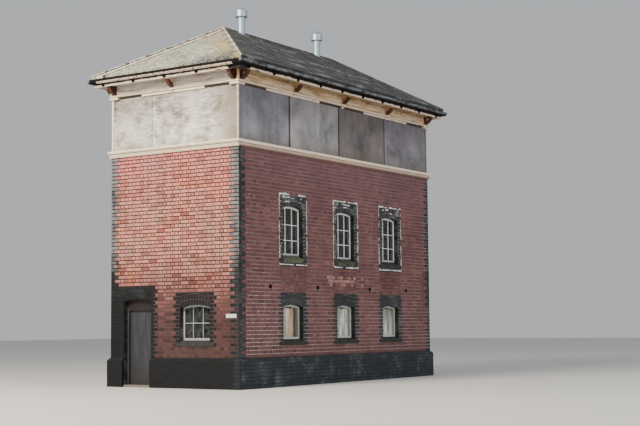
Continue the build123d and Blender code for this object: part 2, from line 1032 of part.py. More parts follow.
def capping(direction, run, wings, cuts):
    """Cap tiles from the apex: a wing on each slope, a roll, and planes that trim the ends."""
    with BuildPart() as cap:
        for normal, wing_align in wings:
            with BuildSketch(Plane(origin=apex, x_dir=direction, z_dir=normal)):
                Rectangle(run, cap_wing, align=(Align.MIN, wing_align))
            extrude(amount=cap_thickness)
        with BuildSketch(Plane(origin=apex, z_dir=direction)):
            Circle(cap_roll)
        extrude(amount=run)
        for slope in (front_slope, back_slope, door_end_slope, far_end_slope):
            add(slope.part, mode=Mode.SUBTRACT)
        for cut in cuts:
            split(bisect_by=cut, keep=Keep.TOP)
    return cap.part


mitre_line = hip_direction + ridge_direction
mitre_keep = Vector(-mitre_line.Y, mitre_line.X, 0)
ridge_mitres = [upright(apex, mitre_keep), upright(apex, Vector(mitre_keep.X, -mitre_keep.Y, 0))]
hip_cuts = [
    upright(apex, -mitre_keep),
    upright(apex, Vector(0, -1, 0)),
    Plane(origin=eaves_corner, z_dir=(1, 0, 0)),
    Plane(origin=eaves_corner, z_dir=(0, 1, 0)),
]

with BuildPart() as hip_tiles:
    add(capping(hip_direction, hip_length + cap_wing, ((front_normal, Align.MIN), (end_normal, Align.MAX)), hip_cuts))
    mirror(about=Plane.XZ)
    mirror(about=Plane.YZ)
save(hip_tiles, "hip_tiles")


def over_ridge(start, end, wing, thickness):
    """A plate folded over the ridge between two places along it."""
    rise = thickness / cos(pitch)
    drop = wing * sin(pitch)
    out = wing * cos(pitch)
    lean = thickness * sin(pitch)
    lift = thickness * cos(pitch)
    with BuildPart() as plate:
        with BuildSketch(Plane.YZ.offset(start)):
            with BuildLine():
                Polyline(
                    (0, ridge_level),
                    (out, ridge_level - drop),
                    (out + lean, ridge_level - drop + lift),
                    (0, ridge_level + rise),
                    (-out - lean, ridge_level - drop + lift),
                    (-out, ridge_level - drop),
                    close=True,
                )
            make_face()
        extrude(amount=end - start)
    return plate.part


with BuildPart() as ridge_tiles:
    add(capping(ridge_direction, -apex.X, ((front_normal, Align.MAX), (back_normal, Align.MIN)), ridge_mitres))
    mirror(about=Plane.YZ)
    for x in ventilator_centres:
        with BuildSketch(Plane.XY.offset(ridge_level - drum_height)):
            with Locations((x, 0)):
                Rectangle(saddle_length + 2 * seam, 4 * cap_wing)
        extrude(amount=2 * drum_height, mode=Mode.SUBTRACT)
save(ridge_tiles, "ridge_tiles")

# Ventilators: a sheet-iron pipe, a drum and a cone on a lead saddle over the ridge

with BuildPart() as ventilator_saddles:
    for x in ventilator_centres:
        add(over_ridge(x - saddle_length / 2, x + saddle_length / 2, saddle_wing, saddle_thickness))
save(ventilator_saddles, "ventilator_saddles")

saddle_top = ridge_level + saddle_thickness / cos(pitch)
drum_foot = ridge_level + pipe_height
with BuildPart() as ventilators:
    for x in ventilator_centres:
        with BuildSketch(Plane.XZ.shift_origin((x, 0, 0))):
            with BuildLine():
                drum_top = drum_foot + drum_height
                Polyline(
                    (0, ridge_level - pipe_radius),
                    (pipe_radius, ridge_level - pipe_radius),
                    (pipe_radius, drum_foot),
                    (drum_radius, drum_foot),
                    (drum_radius, drum_top),
                    (cone_tip_radius, drum_top + cone_height),
                    (0, drum_top + cone_height),
                    close=True,
                )
            make_face()
        revolve(axis=Axis((x, 0, 0), (0, 0, 1)))
    with BuildSketch(Plane.YZ):
        with BuildLine():
            reach = 2 * pipe_radius
            Polyline(
                (0, saddle_top),
                (reach, saddle_top - reach * tan(pitch)),
                (-reach, saddle_top - reach * tan(pitch)),
                close=True,
            )
        make_face()
    extrude(amount=length, both=True, mode=Mode.SUBTRACT)
save(ventilators, "ventilators")
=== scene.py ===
import math
import random
import bpy
from mathutils import Matrix, Vector


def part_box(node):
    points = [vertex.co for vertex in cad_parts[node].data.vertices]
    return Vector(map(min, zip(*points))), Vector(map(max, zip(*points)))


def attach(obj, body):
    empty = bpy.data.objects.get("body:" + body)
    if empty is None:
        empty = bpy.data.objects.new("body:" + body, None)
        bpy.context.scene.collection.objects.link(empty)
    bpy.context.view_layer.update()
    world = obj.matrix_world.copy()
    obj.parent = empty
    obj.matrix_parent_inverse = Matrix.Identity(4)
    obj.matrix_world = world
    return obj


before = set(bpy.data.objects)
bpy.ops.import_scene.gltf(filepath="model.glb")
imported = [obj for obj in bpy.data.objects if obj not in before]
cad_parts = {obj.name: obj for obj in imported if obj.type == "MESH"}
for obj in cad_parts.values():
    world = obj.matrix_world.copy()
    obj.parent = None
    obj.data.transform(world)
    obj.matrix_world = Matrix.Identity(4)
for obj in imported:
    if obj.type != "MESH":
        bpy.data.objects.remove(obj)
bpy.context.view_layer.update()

# Plinth. Blue engineering bricks, pressed from clay and fired hard, in English bond on the
# footing. Splayed plinth bricks over the seventh course bring the wall in by 60 mm.

plinth_courses = 7
splay_foot = 0.58
plinth_gauge = splay_foot / plinth_courses
plinth_out = 0.06
plinth_top = 0.64
brick_module = 0.2286  # a nine-inch brick and its joint
joint = 0.010
bed = 0.014
brick_proud = 0.0045  # bricks stand this far in front of the struck mortar
arris = 0.003
sunk = 0.001  # the foot of a laid plate lies this far inside its wall
reveal_proud = 0.003  # the same inside a reveal, where the arrises are sharper too
reveal_arris = 0.002
dice = random.Random(31)

corner_low, corner_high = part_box("corner_beads")
run_long = corner_high[0] - corner_low[0]
run_end = corner_high[1] - corner_low[1]
walls = {
    "front": (Vector((corner_low[0], corner_low[1], 0)), Vector((1, 0, 0)), Vector((0, -1, 0)), run_long),
    "back": (Vector((corner_low[0], corner_high[1], 0)), Vector((1, 0, 0)), Vector((0, 1, 0)), run_long),
    "door_end": (Vector((corner_low[0], corner_low[1], 0)), Vector((0, 1, 0)), Vector((-1, 0, 0)), run_end),
    "far_end": (Vector((corner_high[0], corner_low[1], 0)), Vector((0, 1, 0)), Vector((1, 0, 0)), run_end),
}


def spot(side, along, out, height):
    """A point on a wall, from its distance along, its stand-off from the brick face and its height."""
    start, direction, outward, _ = walls[side]
    return start + direction * along + outward * out + Vector((0, 0, height))


def wall_face(side, left, right, out, low, high):
    """The corners of an upright rectangle that looks out of a wall."""
    return [spot(side, s, out, z) for s, z in ((left, low), (right, low), (right, high), (left, high))]


def reveal_face(side, along, near, far, low, high):
    """The corners of an upright rectangle that looks along a wall, in an opening's reveal."""
    return [spot(side, along, out, z) for out, z in ((near, low), (far, low), (far, high), (near, high))]


def new_pieces():
    """An empty list of like pieces that will become one mesh."""
    return {"points": [], "faces": [], "tones": []}


def lay(pieces, corners, facing, rise, edge, tone):
    """Adds one plate with chamfered edges on a surface: a brick face, a slate or a board."""
    corners = [Vector(c) for c in corners]
    turn = (corners[1] - corners[0]).cross(corners[2] - corners[1])
    rises = list(rise) if isinstance(rise, (list, tuple)) else [rise] * len(corners)
    if turn.dot(facing) < 0:
        corners.reverse()
        rises.reverse()
    count = len(corners)
    first = len(pieces["points"])
    for corner in corners:
        pieces["points"].append(corner - facing * sunk)
    for index, corner in enumerate(corners):
        before = (corners[index - 1] - corner).normalized()
        after = (corners[(index + 1) % count] - corner).normalized()
        pieces["points"].append(corner + (before + after) * edge + facing * rises[index])
    pieces["faces"].append([first + count + index for index in range(count)])
    for index in range(count):
        other = (index + 1) % count
        pieces["faces"].append([first + index, first + other, first + count + other, first + count + index])
    pieces["tones"].extend([tone] * (2 * count))


def place(name, pieces, finish, body="building"):
    """Makes one object of the laid pieces, with each piece's tone kept as an attribute."""
    mesh = bpy.data.meshes.new(name)
    mesh.from_pydata(pieces["points"], [], pieces["faces"])
    mesh.attributes.new("tone", "FLOAT", "POINT").data.foreach_set("value", pieces["tones"])
    mesh.materials.append(finish)
    piece = bpy.data.objects.new(name, mesh)
    bpy.context.collection.objects.link(piece)
    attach(piece, body)
    return piece


def colour(code):
    """Linear colour of an sRGB hex value."""
    channels = [int(code[at:at + 2], 16) / 255 for at in (1, 3, 5)]
    return [c / 12.92 if c <= 0.04045 else ((c + 0.055) / 1.055) ** 2.4 for c in channels] + [1.0]


def node(tree, kind, settings, links=None):
    """Adds one shader node, sets its properties, sockets and ramp stops, and links its inputs."""
    made = tree.nodes.new("ShaderNode" + kind)
    for key, value in settings.items():
        if key == "stops":
            ramp = made.color_ramp.elements
            for index, (position, shade) in enumerate(value):
                stop = ramp[index] if index < len(ramp) else ramp.new(position)
                stop.position = position
                stop.color = colour(shade)
        elif isinstance(key, int) or key in made.inputs:
            made.inputs[key].default_value = value
        else:
            setattr(made, key, value)
    for key, source in (links or {}).items():
        tree.links.new(source, made.inputs[key])
    return made.outputs


def finish_of(name, settings):
    """A new material: its tree, its Principled shader and its object coordinates."""
    made = bpy.data.materials.new(name)
    made.use_nodes = True
    tree = made.node_tree
    shader = tree.nodes["Principled BSDF"]
    for key, value in settings.items():
        shader.inputs[key].default_value = value
    return made, tree, shader, node(tree, "TexCoord", {})["Object"]


def stained_or_shaded(tree, under, shade, source, start, end, most=1.0, masks=(), blend="MIX"):
    """Lays a stain, or painted light or shade, over a colour: it comes in as a value runs from start to end,
    within its masks.
    """
    limits = {"From Min": start, "From Max": end, "To Max": most}
    amount = node(tree, "MapRange", limits, {"Value": source})["Result"]
    for mask in masks:
        amount = node(tree, "Math", {"operation": "MULTIPLY"}, {0: amount, 1: mask})["Value"]
    over = {"blend_type": blend, "Color2": colour(shade)}
    return node(tree, "MixRGB", over, {"Fac": amount, "Color1": under})["Color"]


def dress(tree, shader, face, height, strength, depth):
    """Gives a finish its colour, and the relief that a height draws on it."""
    relief = node(tree, "Bump", {"Strength": strength, "Distance": depth}, {"Height": height})["Normal"]
    tree.links.new(face, shader.inputs["Base Color"])
    tree.links.new(relief, shader.inputs["Normal"])


def past(tree, axes, half_long, half_wide):
    """How far a point stands out past both ends, and past both sides, of a plan round the origin."""
    distances = []
    for axis, half in (("X", half_long), ("Y", half_wide)):
        distance = node(tree, "Math", {"operation": "ABSOLUTE"}, {0: axes[axis]})["Value"]
        distances.append(node(tree, "Math", {"operation": "SUBTRACT", 1: half}, {0: distance})["Value"])
    return distances


def coat(name, finish):
    """Gives a CAD node its material."""
    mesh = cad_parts[name].data
    if mesh.materials:
        for index in range(len(mesh.materials)):
            mesh.materials[index] = finish
    else:
        mesh.materials.append(finish)


# Engineering brick: dense, fired blue-black clay. It gives a close dark face whose sheen soot has
# dulled, a purple or grey cast from brick to brick, and a pale bloom of lime, raised high on the
# sunny end as painted sunlight; low on that end the bricks are painted darker as shade.
engineering_brick, tree, shader, where = finish_of(
    "blue_engineering_brick", {"Roughness": 0.6, "IOR": 1.52, "Specular IOR Level": 0.33}
)
tone = node(tree, "Attribute", {"attribute_name": "tone"})["Fac"]
body = node(
    tree,
    "ValToRGB",
    {"stops": ((0.0, "#16191B"), (0.45, "#212527"), (0.75, "#2D2F31"), (1.0, "#3F3C39"))},
    {"Fac": tone},
)["Color"]
axes = node(tree, "SeparateXYZ", {}, {"Vector": where})
# Higher up the sunny end the bloom is raised: painted sunlight
sunny = node(
    tree, "MapRange", {"From Min": -4.04, "From Max": -4.06, "To Max": 0.26}, {"Value": axes["X"]}
)["Result"]
raised = node(
    tree, "MapRange", {"From Min": 1.7, "From Max": 3.4, "To Min": -0.35}, {"Value": axes["Z"]}
)["Result"]
sunny = node(tree, "Math", {"operation": "MULTIPLY"}, {0: sunny, 1: raised})["Value"]
bloom = node(tree, "TexNoise", {"Scale": 3.1, "Detail": 7.0, "Roughness": 0.66}, {"Vector": where})["Fac"]
bloom = node(tree, "Math", {"operation": "ADD"}, {0: bloom, 1: sunny})["Value"]
bloom = node(tree, "ValToRGB", {"stops": ((0.52, "#000000"), (0.78, "#A8A8A8"))}, {"Fac": bloom})["Color"]
bloomed = node(tree, "MixRGB", {"Color2": colour("#B5B2B4")}, {"Fac": bloom, "Color1": body})["Color"]
sunny_end = node(tree, "Math", {"operation": "LESS_THAN", 1: -4.055}, {0: axes["X"]})["Value"]
# Low on the sunny end the bricks are painted darker: painted shade
bloomed = stained_or_shaded(tree, bloomed, "#52667A", axes["Z"], 2.7, 1.9, masks=(sunny_end,), blend="MULTIPLY")
track_side = node(tree, "Math", {"operation": "LESS_THAN", 1: -1.7}, {0: axes["Y"]})["Value"]
bloomed = stained_or_shaded(tree, bloomed, "#262F37", axes["Z"], 2.5, 2.4, 0.45, (track_side,))
speckle = node(tree, "TexNoise", {"Scale": 160.0, "Detail": 3.0}, {"Vector": where})["Fac"]
speckled = node(
    tree, "MixRGB", {"blend_type": "OVERLAY", "Fac": 0.35}, {"Color1": bloomed, "Color2": speckle}
)["Color"]
dress(tree, shader, speckled, speckle, strength=0.35, depth=0.0012)

# Lime and ash mortar: nearly black on the door end, which is soot and painted shade in its joints,
# and dusted pink low on that end, below that painted shade. It is rubbed with brick dust on the track
# side, where its joints are washed paler still by the corner and in the dark panels. Inside the walls
# the brickwork is limewashed, so there it is off-white.
ash_mortar, tree, shader, where = finish_of("ash_lime_mortar", {"Roughness": 0.93})
grit = node(tree, "TexNoise", {"Scale": 240.0, "Detail": 2.0}, {"Vector": where})["Fac"]
patch = node(tree, "TexNoise", {"Scale": 1.6, "Detail": 6.0, "Roughness": 0.65}, {"Vector": where})["Fac"]
soot = node(tree, "ValToRGB", {"stops": ((0.35, "#2C1E1D"), (0.72, "#4E3B38"))}, {"Fac": patch})["Color"]
axes = node(tree, "SeparateXYZ", {}, {"Vector": where})
sunny_end = node(tree, "Math", {"operation": "LESS_THAN", 1: -4.05}, {0: axes["X"]})["Value"]
# On the sunny end the joints are painted darker: soot and painted shade
soot = node(
    tree, "MixRGB", {"blend_type": "MULTIPLY", "Color2": colour("#3C2D29")},
    {"Fac": sunny_end, "Color1": soot},
)["Color"]
before_door = node(tree, "Math", {"operation": "LESS_THAN", 1: 0.56}, {0: axes["Y"]})["Value"]
soot = stained_or_shaded(tree, soot, "#6E5452", axes["Z"], 2.3, 1.9, 0.45, (sunny_end, before_door))
at_foot = node(tree, "Math", {"operation": "LESS_THAN", 1: 0.66}, {0: axes["Z"]})["Value"]
soot = node(tree, "MixRGB", {"Color2": colour("#1B1C1D")}, {"Fac": at_foot, "Color1": soot})["Color"]
near_corner = node(tree, "MapRange", {"From Min": -1.6, "From Max": -3.0}, {"Value": axes["X"]})["Result"]
foot = node(tree, "MapRange", {"From Min": 3.0, "From Max": 1.5}, {"Value": axes["Z"]})["Result"]
washed = node(tree, "Math", {"operation": "MULTIPLY"}, {0: near_corner, 1: foot})["Value"]
low_strip = node(
    tree, "MapRange", {"From Min": 2.6, "From Max": 0.8, "To Max": 0.5}, {"Value": axes["Z"]}
)["Result"]
washed = node(tree, "Math", {"operation": "MAXIMUM"}, {0: washed, 1: low_strip})["Value"]
broken = node(tree, "TexNoise", {"Scale": 10.0, "Detail": 6.0, "Roughness": 0.7}, {"Vector": where})["Fac"]
broken = node(
    tree, "MapRange", {"From Min": 0.42, "From Max": 0.60, "To Min": 0.1}, {"Value": broken}
)["Result"]
below = node(tree, "MapRange", {"From Min": 4.2, "From Max": 4.16}, {"Value": axes["Z"]})["Result"]
from_window = node(tree, "Math", {"operation": "ADD", 1: 2.075}, {0: axes["X"]})["Value"]
from_window = node(tree, "Math", {"operation": "PINGPONG", 1: 1.045}, {0: from_window})["Value"]
near_window = node(tree, "Math", {"operation": "LESS_THAN", 1: 0.50}, {0: from_window})["Value"]
panels = node(
    tree, "MapRange", {"From Min": 2.66, "From Max": 2.70, "To Max": 0.75}, {"Value": axes["Z"]}
)["Result"]
for mask in (below, near_window, broken):
    panels = node(tree, "Math", {"operation": "MULTIPLY"}, {0: panels, 1: mask})["Value"]
above_plinth = node(tree, "Math", {"operation": "GREATER_THAN", 1: 0.66}, {0: axes["Z"]})["Value"]
off_quoin = node(tree, "Math", {"operation": "GREATER_THAN", 1: -3.81}, {0: axes["X"]})["Value"]
pale_face = node(tree, "Math", {"operation": "LESS_THAN", 1: -1.786}, {0: axes["Y"]})["Value"]
for mask in (above_plinth, off_quoin):
    pale_face = node(tree, "Math", {"operation": "MULTIPLY"}, {0: pale_face, 1: mask})["Value"]
for mask in (broken, patch):
    washed = node(tree, "Math", {"operation": "MULTIPLY"}, {0: washed, 1: mask})["Value"]
washed = node(tree, "Math", {"operation": "MULTIPLY", 1: 2.2, "use_clamp": True}, {0: washed})["Value"]
washed = node(tree, "Math", {"operation": "MAXIMUM"}, {0: washed, 1: panels})["Value"]
washed = node(tree, "Math", {"operation": "MULTIPLY"}, {0: washed, 1: pale_face})["Value"]
over_crowns = node(tree, "MapRange", {"From Min": 1.74, "From Max": 1.76}, {"Value": axes["Z"]})["Result"]
surround = node(tree, "Math", {"operation": "MULTIPLY"}, {0: near_window, 1: below})["Value"]
surround = node(tree, "Math", {"operation": "MULTIPLY"}, {0: surround, 1: over_crowns})["Value"]
rubbed = node(
    tree, "Math", {"operation": "SUBTRACT", "use_clamp": True}, {0: pale_face, 1: surround}
)["Value"]
dust = node(tree, "ValToRGB", {"stops": ((0.35, "#735A58"), (0.68, "#977E7A"))}, {"Fac": patch})["Color"]
dusty = node(tree, "MixRGB", {}, {"Fac": rubbed, "Color1": soot, "Color2": dust})["Color"]
mortar = node(tree, "MixRGB", {"Color2": colour("#C6B7AE")}, {"Fac": washed, "Color1": dusty})["Color"]
past_end, past_side = past(tree, axes, 3.80, 1.53)
# Inside the vent holes the mortar is painted nearly black: painted shade
vent_shade = node(tree, "Math", {"operation": "LESS_THAN", 1: 0.253}, {0: past_side})["Value"]
vent_course_height = node(tree, "Math", {"operation": "COMPARE", 1: 2.165, 2: 0.045}, {0: axes["Z"]})["Value"]
vent_shade = node(tree, "Math", {"operation": "MULTIPLY"}, {0: vent_shade, 1: vent_course_height})["Value"]
mortar = node(tree, "MixRGB", {"Color2": colour("#120F0E")}, {"Fac": vent_shade, "Color1": mortar})["Color"]
outermost = node(tree, "Math", {"operation": "MAXIMUM"}, {0: past_end, 1: past_side})["Value"]
inside = node(tree, "Math", {"operation": "LESS_THAN", 1: 0.0}, {0: outermost})["Value"]
across = node(tree, "Math", {"operation": "ADD"}, {0: axes["X"], 1: axes["Y"]})["Value"]
flat = node(tree, "CombineXYZ", {}, {"X": across, "Y": axes["Z"]})["Vector"]
bond = node(
    tree,
    "TexBrick",
    {"Scale": 1.0, "Mortar Size": 0.005, "Brick Width": 0.2286, "Row Height": 0.0825,
     "Color1": colour("#A7A294"), "Color2": colour("#98927F"), "Mortar": colour("#746E62")},
    {"Vector": flat},
)
limewash = node(
    tree, "MixRGB", {"blend_type": "MULTIPLY", "Fac": 0.5}, {"Color1": bond["Color"], "Color2": patch}
)["Color"]
wall_colour = node(tree, "MixRGB", {}, {"Fac": inside, "Color1": mortar, "Color2": limewash})["Color"]
relief = node(tree, "Math", {"operation": "MULTIPLY"}, {0: bond["Fac"], 1: inside})["Value"]
relief = node(tree, "Math", {"operation": "SUBTRACT"}, {0: grit, 1: relief})["Value"]
dress(tree, shader, wall_colour, relief, strength=0.6, depth=0.002)

plinth_bricks = new_pieces()
door_near, door_far = 2.40, 3.20  # the doorway's jambs, from the track-side corner
for side, (_, _, outward, run) in walls.items():
    length = run + 2 * plinth_out
    for course in range(plinth_courses + 1):
        low = course * plinth_gauge
        splayed = course == plinth_courses
        stretcher = (course + (run == run_end)) % 2 == 0 and not splayed
        unit = length / round(length / brick_module) * (1 if stretcher else 0.5)
        first = -plinth_out
        joints = [first + unit * index for index in range(round(length / unit) + 1)]
        if side == "door_end":
            joints = [at for at in joints if not door_near - 0.05 < at < door_far + 0.05]
            joints = sorted(joints + [door_near, door_far])
        for left, right in zip(joints, joints[1:]):
            if side == "door_end" and left >= door_near - 0.001 and right <= door_far + 0.001:
                continue
            a = left + (0 if left <= first or left == door_far else joint / 2)
            b = right - (0 if right >= joints[-1] - 0.001 or right == door_near else joint / 2)
            shade = dice.uniform(0.0, 0.8)
            if splayed:
                slope = Vector((0, 0, 1)) + outward
                top_a = max(a, 0.0) if left <= first else a
                top_b = min(b, run) if right >= joints[-1] - 0.001 else b
                corners = (
                    spot(side, a, plinth_out, splay_foot),
                    spot(side, b, plinth_out, splay_foot),
                    spot(side, top_b, 0.003, plinth_top - 0.003),
                    spot(side, top_a, 0.003, plinth_top - 0.003),
                )
                lay(plinth_bricks, corners, slope.normalized(), brick_proud, arris, shade)
            else:
                corners = wall_face(side, a, b, plinth_out, low + joint / 2, low + plinth_gauge - joint / 2)
                proud = brick_proud + dice.uniform(-0.0008, 0.0008)
                lay(plinth_bricks, corners, outward, proud, arris, shade)
for jamb, facing in ((door_near, Vector((0, 1, 0))), (door_far, Vector((0, -1, 0)))):
    for course in range(plinth_courses):
        low = course * plinth_gauge
        for near, far in ((-plinth_out, 0.055), (0.055, 0.115)):
            corners = reveal_face(
                "door_end", jamb, -near - 0.004, -far + 0.004, low + joint / 2, low + plinth_gauge - joint / 2
            )
            lay(plinth_bricks, corners, facing, reveal_proud, reveal_arris, dice.uniform(0.0, 0.8))
place("plinth_bricks", plinth_bricks, engineering_brick)
for name in ("front_plinth", "back_plinth", "far_end_plinth", "door_end_plinth"):
    coat(name, ash_mortar)

# Walls. Common red bricks in English bond, a brick and a half thick, with toothed corners
# and window jambs of blue bricks. Header and stretcher courses alternate, 82.5 mm to a course.

wall_gauge = 0.0825
wall_courses = 54
sill_reach = 0.14
arch_rise = 0.055
arch_ring = 0.229
reveal = 0.115
upper = {"foot": 2.785, "crown": 3.955, "frame": 2.857, "half": 0.385}
lower = {"foot": 0.970, "crown": 1.780, "frame": 1.020, "half": 0.385}
end_window = {"foot": 0.970, "crown": 1.780, "frame": 1.020, "half": 0.405}
openings = {"front": [], "back": [], "door_end": [], "far_end": []}
for centre in (1.985, 4.135, 6.165):
    openings["front"].append(dict(upper, centre=centre, painted=True))
    openings["front"].append(dict(lower, centre=centre, painted=False))
    openings["back"].append(dict(upper, centre=centre, painted=False))
    openings["back"].append(dict(lower, centre=centre, painted=False))
openings["door_end"].append(dict(end_window, centre=1.18, painted=False))
openings["door_end"].append(
    {"foot": 0.0, "crown": 1.93, "frame": 0.05, "half": 0.40, "centre": 2.80, "painted": False}
)
openings["far_end"].append(dict(end_window, centre=1.18, painted=False))
vents = (1.125, 2.950, 5.190, 6.925)
vent_half = 0.0525
vent_course = 18
painted_reach = 0.525
mended_courses = (19, 20, 21)  # bricks with new faces, between the first two low windows
mended_from, mended_to = 3.35, 4.85


def arch_of(opening):
    """Radius, centre height and half angle of an opening's arch."""
    radius = (arch_rise**2 + opening["half"]**2) / (2 * arch_rise)
    return radius, opening["crown"] - radius, math.asin(opening["half"] / radius)


def half_gap(opening, height):
    """Half the width that an opening and its arch take out of a course at a height."""
    radius, hub, lean = arch_of(opening)
    outer = radius + arch_ring
    spring = opening["crown"] - arch_rise
    if height <= spring:
        return opening["half"]
    if height < hub + outer * math.cos(lean):
        return opening["half"] + (height - spring) * math.tan(lean)
    return math.sqrt(max(outer**2 - (height - hub) ** 2, 0.0))


def gaps_in(side, course, low, high):
    """Gaps in one course, as (left, right) at its foot and at its top, and its blue stretches."""
    gaps, blues = [], []
    for opening in openings[side]:
        centre = opening["centre"]
        top = opening["crown"] + arch_ring
        sill_course = opening["foot"] > 0 and abs(high - opening["foot"]) < 0.02
        if sill_course:
            reach = opening["half"] + sill_reach
            gaps.append((centre - reach, centre + reach, centre - reach, centre + reach))
        elif high > opening["foot"] and low < top:
            foot_half, top_half = half_gap(opening, low), half_gap(opening, high)
            gaps.append((centre - foot_half, centre + foot_half, centre - top_half, centre + top_half))
        if opening["painted"]:
            if opening["foot"] - 2.1 * wall_gauge < low < opening["crown"] + 0.20:
                blues.append((centre - painted_reach, centre + painted_reach))
        elif sill_course or (high > opening["foot"] and low < top - 0.02):
            tooth = 0.190 if course % 2 else 0.120
            right = centre + opening["half"] + tooth
            # The narrow pier beyond the door is all of blue bricks
            blues.append((centre - opening["half"] - tooth, right if opening["foot"] else right + 0.3))
    if side == "front" and course == vent_course:
        for at in vents:
            gaps.append((at - vent_half, at + vent_half, at - vent_half, at + vent_half))
    return sorted(gaps), blues


red_bricks, blue_bricks = new_pieces(), new_pieces()
for side, (_, _, outward, run) in walls.items():
    whole = run / round(run / brick_module)
    for course in range(wall_courses):
        low = plinth_top + course * wall_gauge
        high = low + wall_gauge
        stretcher = (course + (run == run_end)) % 2 == 0
        unit = whole if stretcher else whole / 2
        shift = 0.0 if stretcher else whole / 4
        bed_joint, upright = (0.017, 0.012) if run == run_end else (0.013, 0.007)
        gaps, blues = gaps_in(side, course, low, high)
        blues += [(-1.0, unit), (run - unit, run + 1.0)]
        edges = [(0.0, 0.0)]
        for gap in gaps:
            edges += [(gap[0], gap[2]), (gap[1], gap[3])]
        edges.append((run, run))
        for left, right in zip(edges[::2], edges[1::2]):
            if right[0] - left[0] < 0.02:
                continue
            fixed = [at for pair in blues for at in pair if left[0] + 0.04 < at < right[0] - 0.04]
            held = fixed + [left[0], right[0]]
            grid = [shift + unit * index for index in range(-1, int(run / unit) + 2)]
            loose = [at for at in grid if left[0] < at < right[0] and min(abs(at - h) for h in held) > 0.05]
            joints = sorted(fixed + loose)
            ends = [left] + [(at, at) for at in joints] + [right]
            for number, (first, last) in enumerate(zip(ends, ends[1:])):
                trim_left = 0.0 if number == 0 else upright / 2
                trim_right = 0.0 if number == len(ends) - 2 else upright / 2
                corners = (
                    spot(side, first[0] + trim_left, 0, low + bed_joint / 2),
                    spot(side, last[0] - trim_right, 0, low + bed_joint / 2),
                    spot(side, last[1] - trim_right, 0, high - bed_joint / 2),
                    spot(side, first[1] + trim_left, 0, high - bed_joint / 2),
                )
                middle = (first[0] + last[0]) / 2
                blue = any(a < middle < b for a, b in blues)
                shade = dice.betavariate(4.0, 4.0) * 0.86
                mended = side == "front" and course in mended_courses and mended_from < middle < mended_to
                if mended and dice.random() < 0.55:
                    shade = dice.uniform(0.90, 1.0)
                rise = brick_proud + dice.uniform(-0.001, 0.001)
                lay(blue_bricks if blue else red_bricks, corners, outward, rise, arris, shade)

# The ends of the jamb bricks, seen in each reveal in front of the window or the door frame
for side, (_, direction, _, _) in walls.items():
    for opening in openings[side]:
        for turn in (-1, 1):
            jamb = opening["centre"] + turn * opening["half"]
            spring = opening["crown"] - arch_rise
            for course in range(wall_courses):
                low = plinth_top + course * wall_gauge
                high = min(low + wall_gauge, spring)
                if low < opening["foot"] - 0.01 or high - low < 0.03:
                    continue
                corners = reveal_face(side, jamb, -0.003, -reveal + 0.001, low + joint / 2, high - joint / 2)
                shade = dice.uniform(0.0, 0.8)
                lay(blue_bricks, corners, direction * -turn, reveal_proud, reveal_arris, shade)

# Common red brick: pressed iron-rich clay. It gives a matt face that runs from plum to orange
# between bricks. Soot darkens broad patches and the top of the track side. The door end is painted
# paler higher up, most above the door, as sunlight, and darker low down as shade.
red_brick, tree, shader, where = finish_of("common_red_brick", {"Roughness": 0.88, "IOR": 1.5})
tone = node(tree, "Attribute", {"attribute_name": "tone"})["Fac"]
body = node(
    tree,
    "ValToRGB",
    {"stops": ((0.0, "#523432"), (0.25, "#694443"), (0.55, "#7A4F4D"), (0.86, "#90635B"), (1.0, "#AE8277"))},
    {"Fac": tone},
)["Color"]
patch = node(tree, "TexNoise", {"Scale": 0.7, "Detail": 7.0, "Roughness": 0.62}, {"Vector": where})["Fac"]
soot = node(tree, "ValToRGB", {"stops": ((0.32, "#7A716E"), (0.60, "#FFFFFF"))}, {"Fac": patch})["Color"]
sooty = node(
    tree, "MixRGB", {"blend_type": "MULTIPLY", "Fac": 0.4}, {"Color1": body, "Color2": soot}
)["Color"]
axes = node(tree, "SeparateXYZ", {}, {"Vector": where})
track_side = node(tree, "Math", {"operation": "LESS_THAN", 1: -1.7}, {0: axes["Y"]})["Value"]
plum = stained_or_shaded(tree, sooty, "#6F4C54", axes["Z"], 3.9, 4.8, 0.4, (track_side,))
sunny_end = node(tree, "Math", {"operation": "LESS_THAN", 1: -4.02}, {0: axes["X"]})["Value"]
# Paler higher up the sunny end: painted sunlight
pale_and_sunlit = node(
    tree, "MapRange", {"From Min": 1.3, "From Max": 3.0, "To Max": 0.62}, {"Value": axes["Z"]}
)["Result"]
pale_and_sunlit = node(tree, "Math", {"operation": "MULTIPLY"}, {0: pale_and_sunlit, 1: sunny_end})["Value"]
pale = node(tree, "MixRGB", {"Color2": colour("#E2988C")}, {"Fac": pale_and_sunlit, "Color1": plum})["Color"]
dried = node(
    tree, "TexNoise", {"Scale": 1.25, "Detail": 7.0, "Roughness": 0.66, "Distortion": 0.5}, {"Vector": where}
)["Fac"]
pale = stained_or_shaded(tree, pale, "#A38D7E", dried, 0.50, 0.62, 0.85, (pale_and_sunlit,))
pale = stained_or_shaded(tree, pale, "#D98A66", dried, 0.46, 0.36, 0.9, (pale_and_sunlit,))
burnt = node(
    tree, "ValToRGB", {"stops": ((0.10, "#B79C98"), (0.32, "#E6DAD6"), (0.48, "#FFFFFF"))}, {"Fac": tone}
)["Color"]
pale = node(
    tree, "MixRGB", {"blend_type": "MULTIPLY"}, {"Fac": sunny_end, "Color1": pale, "Color2": burnt}
)["Color"]
rosy = stained_or_shaded(tree, pale, "#C96E72", axes["Z"], 3.8, 5.1, 0.8, (sunny_end, patch))
